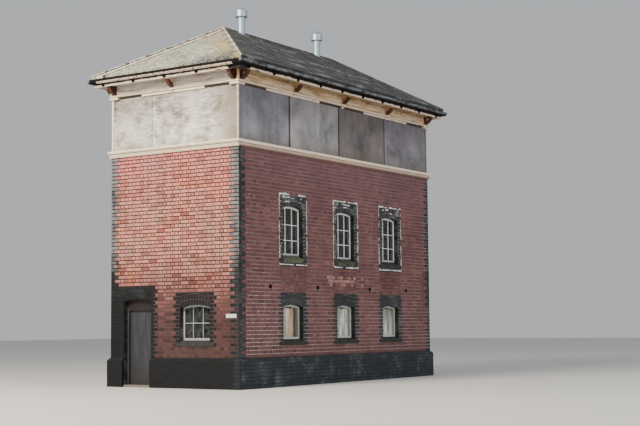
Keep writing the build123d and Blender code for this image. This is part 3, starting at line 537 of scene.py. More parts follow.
# Darker low on the sunny end: painted shade
low_shade = stained_or_shaded(tree, rosy, "#8A7A7E", axes["Z"], 2.6, 1.5, 0.8, (sunny_end,), "MULTIPLY")
damped = stained_or_shaded(tree, low_shade, "#453430", axes["Z"], 1.3, 0.64, 0.7, (patch,))
fine = node(tree, "TexNoise", {"Scale": 95.0, "Detail": 5.0, "Roughness": 0.7}, {"Vector": where})["Fac"]
mottled = node(
    tree, "MixRGB", {"blend_type": "OVERLAY", "Fac": 0.6}, {"Color1": damped, "Color2": fine}
)["Color"]
dress(tree, shader, mottled, fine, strength=0.5, depth=0.0016)
place("red_wall_bricks", red_bricks, red_brick)
place("blue_quoin_and_jamb_bricks", blue_bricks, engineering_brick)
for name in ("front_wall", "back_wall", "far_end_wall", "door_end_wall", "door_pier", "over_door_wall"):
    coat(name, ash_mortar)

# Arches. Two rings of blue bricks on edge over each opening, struck from one centre on a
# timber former; their undersides show in the head of the reveal.

on_edge = 0.077  # a brick on edge and its joint
arch_bricks = new_pieces()
for side, (_, _, outward, _) in walls.items():
    for opening in openings[side]:
        radius, hub, lean = arch_of(opening)
        for ring in range(2):
            inner = radius + ring * arch_ring / 2 + (0.0 if ring == 0 else joint / 2)
            outer = radius + (ring + 1) * arch_ring / 2 - joint / 2
            count = round(2 * lean * inner / on_edge)
            for index in range(count):
                spread = joint / 2 / inner
                a = -lean + 2 * lean * index / count + spread
                b = -lean + 2 * lean * (index + 1) / count - spread
                shade = dice.uniform(0.0, 0.8)
                corners = [
                    spot(side, opening["centre"] + r * math.sin(t), 0, hub + r * math.cos(t))
                    for r, t in ((inner, a), (inner, b), (outer, b), (outer, a))
                ]
                lay(arch_bricks, corners, outward, brick_proud, arris, shade)
                if ring == 0:
                    corners = [
                        spot(side, opening["centre"] + inner * math.sin(t), out, hub + inner * math.cos(t))
                        for t, out in ((a, -0.003), (b, -0.003), (b, -reveal), (a, -reveal))
                    ]
                    lay(arch_bricks, corners, Vector((0, 0, -1)), reveal_proud, reveal_arris, shade)
place("arch_bricks", arch_bricks, engineering_brick)
for name in ("window_arches", "door_arch"):
    coat(name, ash_mortar)

# Sills. Blue bricks on edge across the jambs, and a weathered slope of them up to the frame.
# They stay damp, so moss has grown under the upper windows, thickest at the door end.

sill_nose = 0.012
sill_bricks = new_pieces()
for side, (_, _, outward, _) in walls.items():
    for number, opening in enumerate(openings[side]):
        if opening["foot"] == 0.0:
            continue
        moss = max(0.92 - 0.14 * number, 0.5) if opening["foot"] > 2 else 0.22
        reach = opening["half"] + sill_reach
        count = round(2 * reach / on_edge)
        for index in range(count):
            a = opening["centre"] - reach + 2 * reach * index / count + joint / 2
            b = a + 2 * reach / count - joint
            under = abs((a + b) / 2 - opening["centre"]) < opening["half"] - 0.01
            shade = (moss if under else 0.05) + dice.uniform(-0.05, 0.05)
            corners = wall_face(side, a, b, sill_nose, opening["foot"] - wall_gauge, opening["foot"])
            lay(sill_bricks, corners, outward, reveal_proud, arris, shade)
        count = round(2 * opening["half"] / on_edge)
        lift = opening["frame"] - opening["foot"]
        facing = (outward * lift + Vector((0, 0, reveal + sill_nose))).normalized()
        for index in range(count):
            a = opening["centre"] - opening["half"] + 2 * opening["half"] * index / count + joint / 2
            b = a + 2 * opening["half"] / count - joint
            corners = [
                spot(side, s, out, z)
                for s, out, z in (
                    (a, sill_nose, opening["foot"]),
                    (b, sill_nose, opening["foot"]),
                    (b, -reveal, opening["frame"]),
                    (a, -reveal, opening["frame"]),
                )
            ]
            lay(sill_bricks, corners, facing, reveal_proud, arris, moss + dice.uniform(-0.05, 0.05))

# Mossed brick: the same blue clay under a felt of moss and silt. The laid tone of a brick says
# how much moss it carries.
mossed_brick, tree, shader, where = finish_of("mossed_blue_brick", {"Roughness": 0.9, "IOR": 1.5})
tone = node(tree, "Attribute", {"attribute_name": "tone"})["Fac"]
stain = node(tree, "TexNoise", {"Scale": 30.0, "Detail": 4.0}, {"Vector": where})["Fac"]
body = node(tree, "ValToRGB", {"stops": ((0.35, "#1D1F20"), (0.7, "#3D3B38"))}, {"Fac": stain})["Color"]
clump = node(tree, "TexNoise", {"Scale": 12.0, "Detail": 8.0, "Roughness": 0.75}, {"Vector": where})["Fac"]
grown = node(tree, "Math", {"operation": "MULTIPLY_ADD", 1: 0.55}, {0: tone, 2: clump})["Value"]
cover = node(tree, "ValToRGB", {"stops": ((0.80, "#000000"), (0.98, "#FFFFFF"))}, {"Fac": grown})["Color"]
fronds = node(tree, "TexNoise", {"Scale": 48.0, "Detail": 6.0, "Roughness": 0.7}, {"Vector": where})["Fac"]
moss = node(
    tree, "ValToRGB", {"stops": ((0.3, "#33362A"), (0.5, "#5B5F48"), (0.7, "#868B72"))}, {"Fac": fronds}
)["Color"]
mossed = node(tree, "MixRGB", {}, {"Fac": cover, "Color1": body, "Color2": moss})["Color"]
tuft = node(tree, "TexNoise", {"Scale": 110.0, "Detail": 4.0}, {"Vector": where})["Fac"]
dress(tree, shader, mossed, tuft, strength=0.8, depth=0.005)
place("sill_bricks", sill_bricks, mossed_brick)
coat("window_sills", mossed_brick)

# White lining. A band of masonry paint, brushed round the dark panels of the upper front
# windows so that they stand out. Half a century of weather has broken it up brick by brick.

line_width = 0.025
low_edge, high_edge = 2.655, 4.200
first_course, last_course = int((low_edge - plinth_top) / wall_gauge), 43
smeared_courses = (42, 42, 42, 41)
stray_places = (-0.42, -0.1, 0.28)  # of the smears over each window, from its centre
paint_film, paint_edge = 0.0022, 0.001
facing = walls["front"][2]
paint_lines = new_pieces()
for number, opening in enumerate(o for o in openings["front"] if o["painted"]):
    centre = opening["centre"]
    for turn in (-1, 1):
        at = centre + turn * painted_reach
        for course in range(first_course, last_course + 1):
            low = max(plinth_top + course * wall_gauge + joint / 2, low_edge)
            high = min(plinth_top + (course + 1) * wall_gauge - joint / 2, high_edge)
            if high - low < 0.02 or dice.random() < 0.07 + 0.04 * number:
                continue
            bite = line_width / 2 * dice.choice((0.5, 0.8, 1.1, 1.4))
            stray = turn * dice.choice((0.0, 0.0, -0.010, 0.006))
            drop = dice.uniform(0.0, 0.02)
            left, right = stray - bite, stray + bite
            corners = [
                spot("front", at + s, brick_proud, z)
                for s, z in ((left, low + drop), (right, low), (right, high), (left, high - drop))
            ]
            lay(paint_lines, corners, facing, paint_film, paint_edge, dice.random())
            if dice.random() < 0.30:
                smear = turn * dice.uniform(-0.07, -0.03)
                corners = [
                    spot("front", at + s, brick_proud, low + rise)
                    for s, rise in ((smear, 0.008), (0, 0.012), (0, 0.026), (smear, 0.02))
                ]
                lay(paint_lines, corners, facing, 0.0020, paint_edge, 0.25)
    for level in (low_edge, high_edge):
        at = centre - painted_reach - line_width / 2
        while at < centre + painted_reach:
            step = min(dice.uniform(0.05, 0.20), centre + painted_reach + line_width / 2 - at)
            if dice.random() > 0.10 + 0.05 * number:
                bite = line_width / 2 * dice.uniform(0.7, 1.5)
                top = bite * (dice.choice((1.0, 1.4, 2.0)) if level == high_edge else 1.0)
                corners = [
                    spot("front", at + s, brick_proud, level + rise)
                    for s, rise in ((0, -bite), (step, -bite * 0.9), (step, top), (0, top))
                ]
                lay(paint_lines, corners, facing, paint_film, paint_edge, dice.random())
            at += step
    for smear in range(8 + 3 * number):
        course = dice.choice(smeared_courses)
        low = plinth_top + course * wall_gauge + bed / 2 + dice.uniform(0.0, 0.03)
        anywhere = dice.uniform(-painted_reach, painted_reach - 0.2)
        at = centre + dice.choice((anywhere, stray_places[number]))
        step = dice.uniform(0.06, 0.17)
        thick = dice.uniform(0.012, 0.045)
        corners = [
            spot("front", at + s, brick_proud + 0.001, low + rise)
            for s, rise in ((0, 0), (step, 0.004), (step * 0.9, thick), (0.01, thick * 0.8))
        ]
        lay(paint_lines, corners, facing, 0.0025, paint_edge, dice.random())

# Masonry paint: thick white oil paint that follows the brick under it, chalked and grimed.
masonry_paint, tree, shader, where = finish_of("chalked_masonry_paint", {"Roughness": 0.8, "IOR": 1.45})
grime = node(tree, "TexNoise", {"Scale": 14.0, "Detail": 6.0, "Roughness": 0.7}, {"Vector": where})["Fac"]
chalk = node(
    tree, "ValToRGB", {"stops": ((0.34, "#9A918D"), (0.48, "#DEDAD5"), (0.66, "#F8F5F0"))}, {"Fac": grime}
)["Color"]
dress(tree, shader, chalk, grime, strength=0.3, depth=0.001)
place("white_lining", paint_lines, masonry_paint)

# Windows. Softwood frames with narrow glazing bars, three panes wide, puttied and painted
# in pale stone colour; each sits half a brick back on its sill.

bar_width, bar_depth, bar_arris = 0.019, 0.018, 0.004
frame_face = 0.045
upper_levels, lower_levels = (3.198, 3.543), (1.385,)  # of the bars that run across
even_tone = 0.5  # of pieces that are all alike
glazing_bars = new_pieces()
for side, (_, _, outward, _) in walls.items():
    for opening in openings[side]:
        if opening["foot"] == 0.0:
            continue
        centre, half = opening["centre"], opening["half"]
        face = -reveal - 0.006
        inner = half - frame_face
        radius, hub, _ = arch_of(opening)
        boarded = side == "front" and opening["foot"] < 2
        levels = () if boarded else upper_levels if opening["foot"] > 2 else lower_levels
        for at in (-half / 3, half / 3):
            head = hub + math.sqrt((radius - frame_face) ** 2 - at**2)
            a, b = centre + at - bar_width / 2, centre + at + bar_width / 2
            corners = wall_face(side, a, b, face - bar_depth, opening["frame"] + frame_face, head)
            lay(glazing_bars, corners, outward, bar_depth, bar_arris, even_tone)
        for level in levels:
            low, high = level - bar_width / 2, level + bar_width / 2
            corners = wall_face(side, centre - inner, centre + inner, face - bar_depth, low, high)
            lay(glazing_bars, corners, outward, bar_depth - 0.001, bar_arris, even_tone)

# Oil paint on softwood: a brushed pale stone coat, now flat, with dirt held in its brush marks
# and bare grey grain where it has flaked. The boarded lower windows were last done in grey-green.
stone_paint, tree, shader, where = finish_of("stone_oil_paint", {"Roughness": 0.55, "IOR": 1.47})
grime = node(tree, "TexNoise", {"Scale": 26.0, "Detail": 6.0, "Roughness": 0.7}, {"Vector": where})["Fac"]
coated = node(
    tree, "ValToRGB", {"stops": ((0.28, "#A2A29C"), (0.40, "#F0F0EC"), (0.60, "#FFFFFF"))}, {"Fac": grime}
)["Color"]
green = node(
    tree, "ValToRGB", {"stops": ((0.30, "#8E9086"), (0.46, "#C6C8BD"), (0.7, "#DADBD0"))}, {"Fac": grime}
)["Color"]
shaded_stone = node(
    tree, "ValToRGB", {"stops": ((0.30, "#6F7274"), (0.46, "#9FA3A6"), (0.7, "#B4B7BA"))}, {"Fac": grime}
)["Color"]
axes = node(tree, "SeparateXYZ", {}, {"Vector": where})
lower_row = node(tree, "Math", {"operation": "LESS_THAN", 1: 2.0}, {0: axes["Z"]})["Value"]
track_side = node(tree, "Math", {"operation": "LESS_THAN", 1: -1.55}, {0: axes["Y"]})["Value"]
boarded = node(tree, "Math", {"operation": "MULTIPLY"}, {0: lower_row, 1: track_side})["Value"]
stone = node(tree, "MixRGB", {}, {"Fac": boarded, "Color1": coated, "Color2": green})["Color"]
# The end windows' frames are painted darker: painted shade
at_end = node(tree, "Math", {"operation": "ABSOLUTE"}, {0: axes["X"]})["Value"]
at_end = node(tree, "Math", {"operation": "GREATER_THAN", 1: 3.6}, {0: at_end})["Value"]
stone = node(tree, "MixRGB", {}, {"Fac": at_end, "Color1": stone, "Color2": shaded_stone})["Color"]
# Inside each frame's rebate the paint is darkened: painted shade
past_end, past_side = past(tree, axes, 3.9435, 1.6735)
outermost = node(tree, "Math", {"operation": "MAXIMUM"}, {0: past_end, 1: past_side})["Value"]
rebate_shade = node(tree, "Math", {"operation": "LESS_THAN", 1: 0.0}, {0: outermost})["Value"]
is_bar = node(tree, "Attribute", {"attribute_name": "tone"})["Fac"]
is_frame = node(tree, "Math", {"operation": "LESS_THAN", 1: 0.25}, {0: is_bar})["Value"]
darkness = node(tree, "MapRange", {"To Min": 0.85, "To Max": 0.35}, {"Value": boarded})["Result"]
for mask in (is_frame, darkness):
    rebate_shade = node(tree, "Math", {"operation": "MULTIPLY"}, {0: rebate_shade, 1: mask})["Value"]
stone = node(tree, "MixRGB", {"Color2": colour("#4B443C")}, {"Fac": rebate_shade, "Color1": stone})["Color"]
upper_row = node(tree, "Math", {"operation": "SUBTRACT", 0: 1.0}, {1: lower_row})["Value"]
stone = stained_or_shaded(tree, stone, "#5C5F4E", axes["Z"], 2.905, 2.875, 0.8, (is_frame, upper_row))
dress(tree, shader, stone, grime, strength=0.35, depth=0.0008)
place("glazing_bars", glazing_bars, stone_paint)
coat("window_frames", stone_paint)

# Drawn sheet glass: clear, with a glossy face that is faintly rippled, and a thin film of dust
# that hides a little of the room and is thinner over the boards.
sheet_glass, tree, shader, where = finish_of(
    "drawn_sheet_glass", {"Roughness": 0.05, "IOR": 1.52, "Specular IOR Level": 0.8}
)
ripple = node(tree, "TexNoise", {"Scale": 5.0, "Detail": 2.0}, {"Vector": where})["Fac"]
dust = node(tree, "TexNoise", {"Scale": 11.0, "Detail": 6.0, "Roughness": 0.65}, {"Vector": where})["Fac"]
film = node(tree, "ValToRGB", {"stops": ((0.35, "#3A3F40"), (0.75, "#7B8080"))}, {"Fac": dust})["Color"]
hidden = node(
    tree, "MapRange", {"From Min": 0.35, "From Max": 0.75, "To Min": 0.08, "To Max": 0.30}, {"Value": dust}
)["Result"]
axes = node(tree, "SeparateXYZ", {}, {"Vector": where})
lower_row = node(tree, "Math", {"operation": "LESS_THAN", 1: 2.0}, {0: axes["Z"]})["Value"]
track_side = node(tree, "Math", {"operation": "LESS_THAN", 1: -1.55}, {0: axes["Y"]})["Value"]
wiped = node(tree, "Math", {"operation": "MULTIPLY"}, {0: lower_row, 1: track_side})["Value"]
wiped = node(tree, "MapRange", {"To Min": 1.0, "To Max": 0.25}, {"Value": wiped})["Result"]
hidden = node(tree, "Math", {"operation": "MULTIPLY"}, {0: hidden, 1: wiped})["Value"]
wavy = node(tree, "Bump", {"Strength": 0.10, "Distance": 0.002}, {"Height": ripple})["Normal"]
tree.links.new(film, shader.inputs["Base Color"])
tree.links.new(hidden, shader.inputs["Alpha"])
tree.links.new(wavy, shader.inputs["Normal"])
coat("window_panes", sheet_glass)


def streaks(tree, where, stretch, settings):
    """A noise drawn out along an axis, for the grain of wood and the marks of running water."""
    drawn_out = node(tree, "Mapping", {"Scale": stretch}, {"Vector": where})["Vector"]
    return node(tree, "TexNoise", settings, {"Vector": drawn_out})["Fac"]


# Boards stood behind the lower front panes: offcuts of fibreboard, bare tan in the first window
# and painted pale grey-green in the others, stained where condensation has run down them.
fibreboard, tree, shader, where = finish_of("stained_fibreboard", {"Roughness": 0.85})
axes = node(tree, "SeparateXYZ", {}, {"Vector": where})
painted = node(tree, "Math", {"operation": "GREATER_THAN", 1: -1.2}, {0: axes["X"]})["Value"]
streak = streaks(tree, where, (1.0, 1.0, 0.25), {"Scale": 9.0, "Detail": 6.0, "Roughness": 0.6})
across = node(tree, "MapRange", {"From Min": -2.415, "From Max": -1.735}, {"Value": axes["X"]})["Result"]
# Across the first board the tan runs through a brown band near its left side to a dark strip at its right
# edge, which is painted shade beside the frame
tan_with_shaded_edge = node(
    tree,
    "ValToRGB",
    {"stops": ((0.10, "#A88D69"), (0.22, "#8C724E"), (0.34, "#CDB08A"), (0.43, "#FFFFFA"), (0.50, "#FFF4E0"),
               (0.62, "#F8D6BA"), (0.76, "#EFCBB0"), (0.80, "#8E6F52"), (0.95, "#6C5540"))},
    {"Fac": across},
)["Color"]
knots = node(tree, "ValToRGB", {"stops": ((0.34, "#B09A88"), (0.52, "#FFFFFF"))}, {"Fac": streak})["Color"]
tan = node(tree, "MixRGB", {"blend_type": "MULTIPLY", "Fac": 0.8}, {"Color1": tan_with_shaded_edge, "Color2": knots})["Color"]
green = node(
    tree, "ValToRGB", {"stops": ((0.36, "#858D7E"), (0.48, "#C6CBBD"), (0.60, "#FFFFF6"))}, {"Fac": streak}
)["Color"]
last = node(tree, "Math", {"operation": "GREATER_THAN", 1: 1.0}, {0: axes["X"]})["Value"]
green = stained_or_shaded(tree, green, "#7F8C7C", axes["Z"], 1.40, 1.60, 0.7, (last,))
boards = node(tree, "MixRGB", {}, {"Fac": painted, "Color1": tan, "Color2": green})["Color"]
tree.links.new(boards, shader.inputs["Base Color"])
coat("window_boards", fibreboard)

# Floors. Stone flags on the ground, and boarded floors on joists above, grey with dust. They
# show only through the glass and the doorway, whose step is one more flag.

# Worn sandstone: sawn slabs of about 600 mm, dark in their joints and polished by boots.
sandstone, tree, shader, where = finish_of("worn_sandstone", {"Roughness": 0.8, "IOR": 1.5})
slabs = node(
    tree, "TexBrick",
    {"Scale": 1.0, "Mortar Size": 0.006, "Brick Width": 0.61, "Row Height": 0.46,
     "Color1": colour("#7D776C"), "Color2": colour("#6C675E"), "Mortar": colour("#3A3733")},
    {"Vector": where},
)
grain = node(tree, "TexNoise", {"Scale": 60.0, "Detail": 5.0}, {"Vector": where})["Fac"]
flagged = node(
    tree, "MixRGB", {"blend_type": "OVERLAY", "Fac": 0.5}, {"Color1": slabs["Color"], "Color2": grain}
)["Color"]
dress(tree, shader, flagged, grain, strength=0.4, depth=0.002)
for name in ("ground_floor", "door_step"):
    coat(name, sandstone)

# Pine floorboards: 175 mm wide along the building, bare and greyed, with dark joints.
floor_pine, tree, shader, where = finish_of("bare_pine_floorboards", {"Roughness": 0.78, "IOR": 1.5})
boards = node(
    tree, "TexBrick",
    {"Scale": 1.0, "Mortar Size": 0.003, "Brick Width": 3.0, "Row Height": 0.175, "offset": 0.4,
     "Color1": colour("#7B6850"), "Color2": colour("#6A5843"), "Mortar": colour("#221C16")},
    {"Vector": where},
)
grain = streaks(tree, where, (0.06, 1.0, 1.0), {"Scale": 22.0, "Detail": 6.0})
grained = node(
    tree, "MixRGB", {"blend_type": "OVERLAY", "Fac": 0.6}, {"Color1": boards["Color"], "Color2": grain}
)["Color"]
tree.links.new(grained, shader.inputs["Base Color"])
for name in ("middle_floor", "operating_floor"):
    coat(name, floor_pine)

# Door. A ledged leaf of vertical boards in a rebated frame, with a fixed board above the
# head to fill the arch. The boards are tongued together with a V at each joint.

plank_count = 6
half_joint = 0.002
board_proud, board_arris = 0.003, 0.004
leaf_inset = 0.068  # from the brick jamb to the leaf
leaf_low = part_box("door")[0]
foot, head = leaf_low[2] + 0.004, 1.668
left, right = corner_low[1] + door_near + leaf_inset, corner_low[1] + door_far - leaf_inset
door_planks = new_pieces()
for index in range(plank_count):
    a = left + (right - left) * index / plank_count + half_joint
    b = left + (right - left) * (index + 1) / plank_count - half_joint
    corners = [Vector((leaf_low[0], y, z)) for y, z in ((a, foot), (b, foot), (b, head), (a, head))]
    lay(door_planks, corners, Vector((-1, 0, 0)), board_proud, board_arris, dice.random())

# Grey gloss paint over pine boards: chalked to a flat grey, painted darker overall as shade, and scuffed dark
# at the foot.
grey_paint, tree, shader, where = finish_of("chalked_grey_gloss", {"Roughness": 0.5, "IOR": 1.47})
grain = streaks(tree, where, (1.0, 1.0, 0.08), {"Scale": 18.0, "Detail": 7.0, "Roughness": 0.65})
grey_and_shade = node(
    tree, "ValToRGB", {"stops": ((0.3, "#242529"), (0.55, "#323439"), (0.8, "#4A4B51"))}, {"Fac": grain}
)["Color"]
height = node(tree, "SeparateXYZ", {}, {"Vector": where})["Z"]
dirty = stained_or_shaded(tree, grey_and_shade, "#2C2A28", height, 0.7, 0.05, 0.6)
dress(tree, shader, dirty, grain, strength=0.25, depth=0.0008)
place("door_planks", door_planks, grey_paint, "door_leaf")
coat("door", grey_paint)

# Maroon oil paint on the head and the board over it, painted nearly black under the arch as shade.
black_maroon, tree, shader, where = finish_of("shaded_maroon_oil_paint", {"Roughness": 0.55, "IOR": 1.47})
wear = node(tree, "TexNoise", {"Scale": 10.0, "Detail": 6.0, "Roughness": 0.7}, {"Vector": where})["Fac"]
shaded_maroon = node(tree, "ValToRGB", {"stops": ((0.3, "#110B0D"), (0.75, "#281A1E"))}, {"Fac": wear})["Color"]
tree.links.new(shaded_maroon, shader.inputs["Base Color"])
for name in ("door_head", "transom_board"):
    coat(name, black_maroon)
coat("door_posts", grey_paint)

# Forged iron: black scale over a dark brown bloom of rust.
forged_iron, tree, shader, where = finish_of("forged_iron", {"Roughness": 0.6, "Metallic": 0.8})
scale = node(tree, "TexNoise", {"Scale": 90.0, "Detail": 5.0}, {"Vector": where})["Fac"]
rusted = node(tree, "ValToRGB", {"stops": ((0.35, "#26211F"), (0.7, "#5A3A2A"))}, {"Fac": scale})["Color"]
tree.links.new(rusted, shader.inputs["Base Color"])
coat("hinge_pins", forged_iron)

# Sill beam. A moulded pine beam all round on the brickwork, its rounded nose over a flat
# fillet, painted cream; the fillet under the nose is darker, the colour of the bricks' dust, which
# is partly that dust and partly painted shade of the nose.

# Cream oil paint on pine: thick old coats, chalked pale. It is painted paler on the sunny end as
# sunlight and warmer along the track side as shade, and pink-brown on the fillet and on every
# under-face, partly with brick dust and partly as painted shade. A highlight is painted along the
# top of the nose, and shadow lines in the creases.
cream_paint, tree, shader, where = finish_of("chalked_cream_oil_paint", {"Roughness": 0.6, "IOR": 1.47})
axes = node(tree, "SeparateXYZ", {}, {"Vector": where})
grime = streaks(tree, where, (0.5, 0.5, 2.0), {"Scale": 9.0, "Detail": 8.0, "Roughness": 0.72})
pale = node(
    tree, "ValToRGB", {"stops": ((0.30, "#B3A080"), (0.46, "#E6DABC"), (0.7, "#F4ECD6"))}, {"Fac": grime}
)["Color"]
warm_shaded_cream = node(
    tree, "ValToRGB", {"stops": ((0.30, "#A88B72"), (0.46, "#DFC8AE"), (0.7, "#EFDFC8"))}, {"Fac": grime}
)["Color"]
sunny_end = node(tree, "Math", {"operation": "LESS_THAN", 1: -4.062}, {0: axes["X"]})["Value"]
# Pale on the sunny end as painted sunlight, warmer along the track side as painted shade
creamy = node(tree, "MixRGB", {}, {"Fac": sunny_end, "Color1": warm_shaded_cream, "Color2": pale})["Color"]
normal = node(tree, "SeparateXYZ", {}, {"Vector": node(tree, "NewGeometry", {})["Normal"]})["Z"]
# Under-faces are painted darker: painted shade
under = node(
    tree, "MapRange", {"From Min": 0.1, "From Max": -0.9, "To Max": 0.25}, {"Value": normal}
)["Result"]
shady = node(tree, "Math", {"operation": "SUBTRACT", 0: 1.0}, {1: sunny_end})["Value"]
# A painted highlight along the top of the nose on the track side
nose = node(tree, "Math", {"operation": "COMPARE", 1: 5.217, 2: 0.034}, {0: axes["Z"]})["Value"]
nose = node(tree, "Math", {"operation": "MULTIPLY"}, {0: nose, 1: shady})["Value"]
creamy = node(tree, "MixRGB", {"Color2": colour("#FFEBD2")}, {"Fac": nose, "Color1": creamy})["Color"]
# The fillet under the nose is darker: brick dust and painted shade
fillet = node(tree, "Math", {"operation": "LESS_THAN", 1: 5.176}, {0: axes["Z"]})["Value"]
fillet = node(tree, "Math", {"operation": "MULTIPLY", 1: 0.45}, {0: fillet})["Value"]
dust_and_under_shade = node(tree, "Math", {"operation": "MAXIMUM"}, {0: under, 1: fillet})["Value"]
dusty = node(tree, "MixRGB", {"Color2": colour("#A98669")}, {"Fac": dust_and_under_shade, "Color1": creamy})["Color"]
# Just under the nose on the track side: painted shade
dusty = stained_or_shaded(tree, dusty, "#705044", axes["Z"], 5.133, 5.125, 0.85, (shady,))
# Painted shadow lines in the creases under the moulding, the frieze and the nose
crease_shade = node(tree, "Math", {"operation": "COMPARE", 1: 6.469, 2: 0.007}, {0: axes["Z"]})["Value"]
for level, half in ((6.518, 0.006), (5.176, 0.008)):
    line = node(tree, "Math", {"operation": "COMPARE", 1: level, 2: half}, {0: axes["Z"]})["Value"]
    crease_shade = node(tree, "Math", {"operation": "ADD"}, {0: crease_shade, 1: line})["Value"]
crease_shade = node(tree, "Math", {"operation": "MULTIPLY", 1: 0.75, "use_clamp": True}, {0: crease_shade})["Value"]
lined = node(tree, "MixRGB", {"Color2": colour("#4E3A2E")}, {"Fac": crease_shade, "Color1": dusty})["Color"]
# The tops of the fascias under the gutter are dark in broken streaks: painted shade
broken_streaks = streaks(tree, where, (1.0, 1.0, 0.4), {"Scale": 7.0, "Detail": 6.0, "Roughness": 0.7})
gutter_shade = node(
    tree, "MapRange", {"From Min": 6.705, "From Max": 6.775, "To Max": 0.75}, {"Value": axes["Z"]}
)["Result"]
gutter_shade = node(tree, "Math", {"operation": "ADD"}, {0: gutter_shade, 1: broken_streaks})["Value"]
shaded_top = stained_or_shaded(tree, lined, "#2A1B17", gutter_shade, 0.88, 0.98)
# Near the eaves corner the fascia is painted nearly black: painted shade
corner = node(tree, "Math", {"operation": "ADD"}, {0: axes["X"], 1: axes["Y"]})["Value"]
shaded_top = stained_or_shaded(tree, shaded_top, "#0D0807", corner, -6.13, -6.16)
# The corner of the frieze between its two brackets, pale on the arris and dark beside it
post = node(tree, "Math", {"operation": "COMPARE", 1: 6.62, 2: 0.095}, {0: axes["Z"]})["Value"]
at_post = node(tree, "Math", {"operation": "COMPARE", 1: -5.85, 2: 0.12}, {0: corner})["Value"]
post = node(tree, "Math", {"operation": "MULTIPLY"}, {0: post, 1: at_post})["Value"]
arris_out = node(tree, "Math", {"operation": "LESS_THAN", 1: -5.882}, {0: corner})["Value"]
flank = node(
    tree, "MixRGB", {"Color1": colour("#3A1E17"), "Color2": colour("#DDAE88")}, {"Fac": arris_out}
)["Color"]
cornered = node(tree, "MixRGB", {}, {"Fac": post, "Color1": shaded_top, "Color2": flank})["Color"]
dress(tree, shader, cornered, grime, strength=0.3, depth=0.001)
coat("string_course", cream_paint)

# Boarded windows. Sheets of exterior plywood, nailed over the operating storey's windows
# between the corner beads, with the studs showing black in the gaps between sheets.

# Weathered plywood: silver-grey on the track side and nearly white on the sunny end, partly by
# bleaching and partly as painted sunlight, with broad soft stains, heads darker under the eaves,
# partly water stains and partly painted shade, and green algae low down.
plywood, tree, shader, where = finish_of("weathered_plywood", {"Roughness": 0.85, "IOR": 1.5})
axes = node(tree, "SeparateXYZ", {}, {"Vector": where})
broad = node(
    tree, "TexNoise", {"Scale": 1.4, "Detail": 5.0, "Roughness": 0.56, "Distortion": 0.3}, {"Vector": where}
)["Fac"]
blotch = node(tree, "TexNoise", {"Scale": 6.5, "Detail": 6.0, "Roughness": 0.7}, {"Vector": where})["Fac"]
runs = streaks(tree, where, (1.0, 1.0, 0.12), {"Scale": 7.0, "Detail": 5.0, "Roughness": 0.6})
weather = node(tree, "MixRGB", {"Fac": 0.20}, {"Color1": broad, "Color2": blotch})["Color"]
weather = node(tree, "MixRGB", {"Fac": 0.20}, {"Color1": weather, "Color2": runs})["Color"]
lines = streaks(tree, where, (1.0, 0.35, 1.0), {"Scale": 19.0, "Detail": 7.0, "Roughness": 0.72})
sunned = node(tree, "MixRGB", {"Fac": 0.42}, {"Color1": broad, "Color2": lines})["Color"]
silver = node(
    tree, "ValToRGB", {"stops": ((0.36, "#706E73"), (0.49, "#9A989B"), (0.62, "#BEBCBE"))}, {"Fac": weather}
)["Color"]
# Nearly white on the sunny end: partly bleaching, partly painted sunlight
buff = node(
    tree, "ValToRGB",
    {"stops": ((0.38, "#766E67"), (0.46, "#B0A8A0"), (0.535, "#E6E1DC"), (0.60, "#FDFAF7"))},
    {"Fac": sunned},
)["Color"]
sunny_end = node(tree, "Math", {"operation": "LESS_THAN", 1: -4.0}, {0: axes["X"]})["Value"]
# The sheets of the long sides come from several batches, each of its own grey
place_along = node(tree, "MapRange", {"From Min": -4.06, "From Max": 4.06}, {"Value": axes["X"]})["Result"]
batch = node(
    tree,
    "ValToRGB",
    {"stops": ((0.2355, "#DCD9E0"), (0.2361, "#FFFBF8"), (0.4825, "#FFFBF8"), (0.4831, "#BDB1AD"),
               (0.7374, "#BDB1AD"), (0.7380, "#D9D3D8"))},
    {"Fac": place_along},
)["Color"]
silver = node(
    tree, "MixRGB", {"blend_type": "MULTIPLY", "Fac": 1.0}, {"Color1": silver, "Color2": batch}
)["Color"]
# The far sheet of the sunny end is painted darker: painted shade
shaded_far_sheet = node(tree, "Math", {"operation": "GREATER_THAN", 1: 0.61}, {0: axes["Y"]})["Value"]
shaded_far_sheet = node(tree, "Math", {"operation": "MULTIPLY", 1: 0.45}, {0: shaded_far_sheet})["Value"]
buff = node(
    tree, "MixRGB", {"blend_type": "MULTIPLY", "Color2": colour("#BDB6B2")},
    {"Fac": shaded_far_sheet, "Color1": buff},
)["Color"]
near_bead = node(tree, "MapRange", {"From Min": -1.1, "From Max": -1.6}, {"Value": axes["Y"]})["Result"]
near_bead = node(tree, "Math", {"operation": "MULTIPLY"}, {0: near_bead, 1: lines})["Value"]
near_bead = node(tree, "Math", {"operation": "MULTIPLY", 1: 1.5, "use_clamp": True}, {0: near_bead})["Value"]
buff = node(tree, "MixRGB", {"Color2": colour("#98896E")}, {"Fac": near_bead, "Color1": buff})["Color"]
sheet = node(tree, "MixRGB", {}, {"Fac": sunny_end, "Color1": silver, "Color2": buff})["Color"]
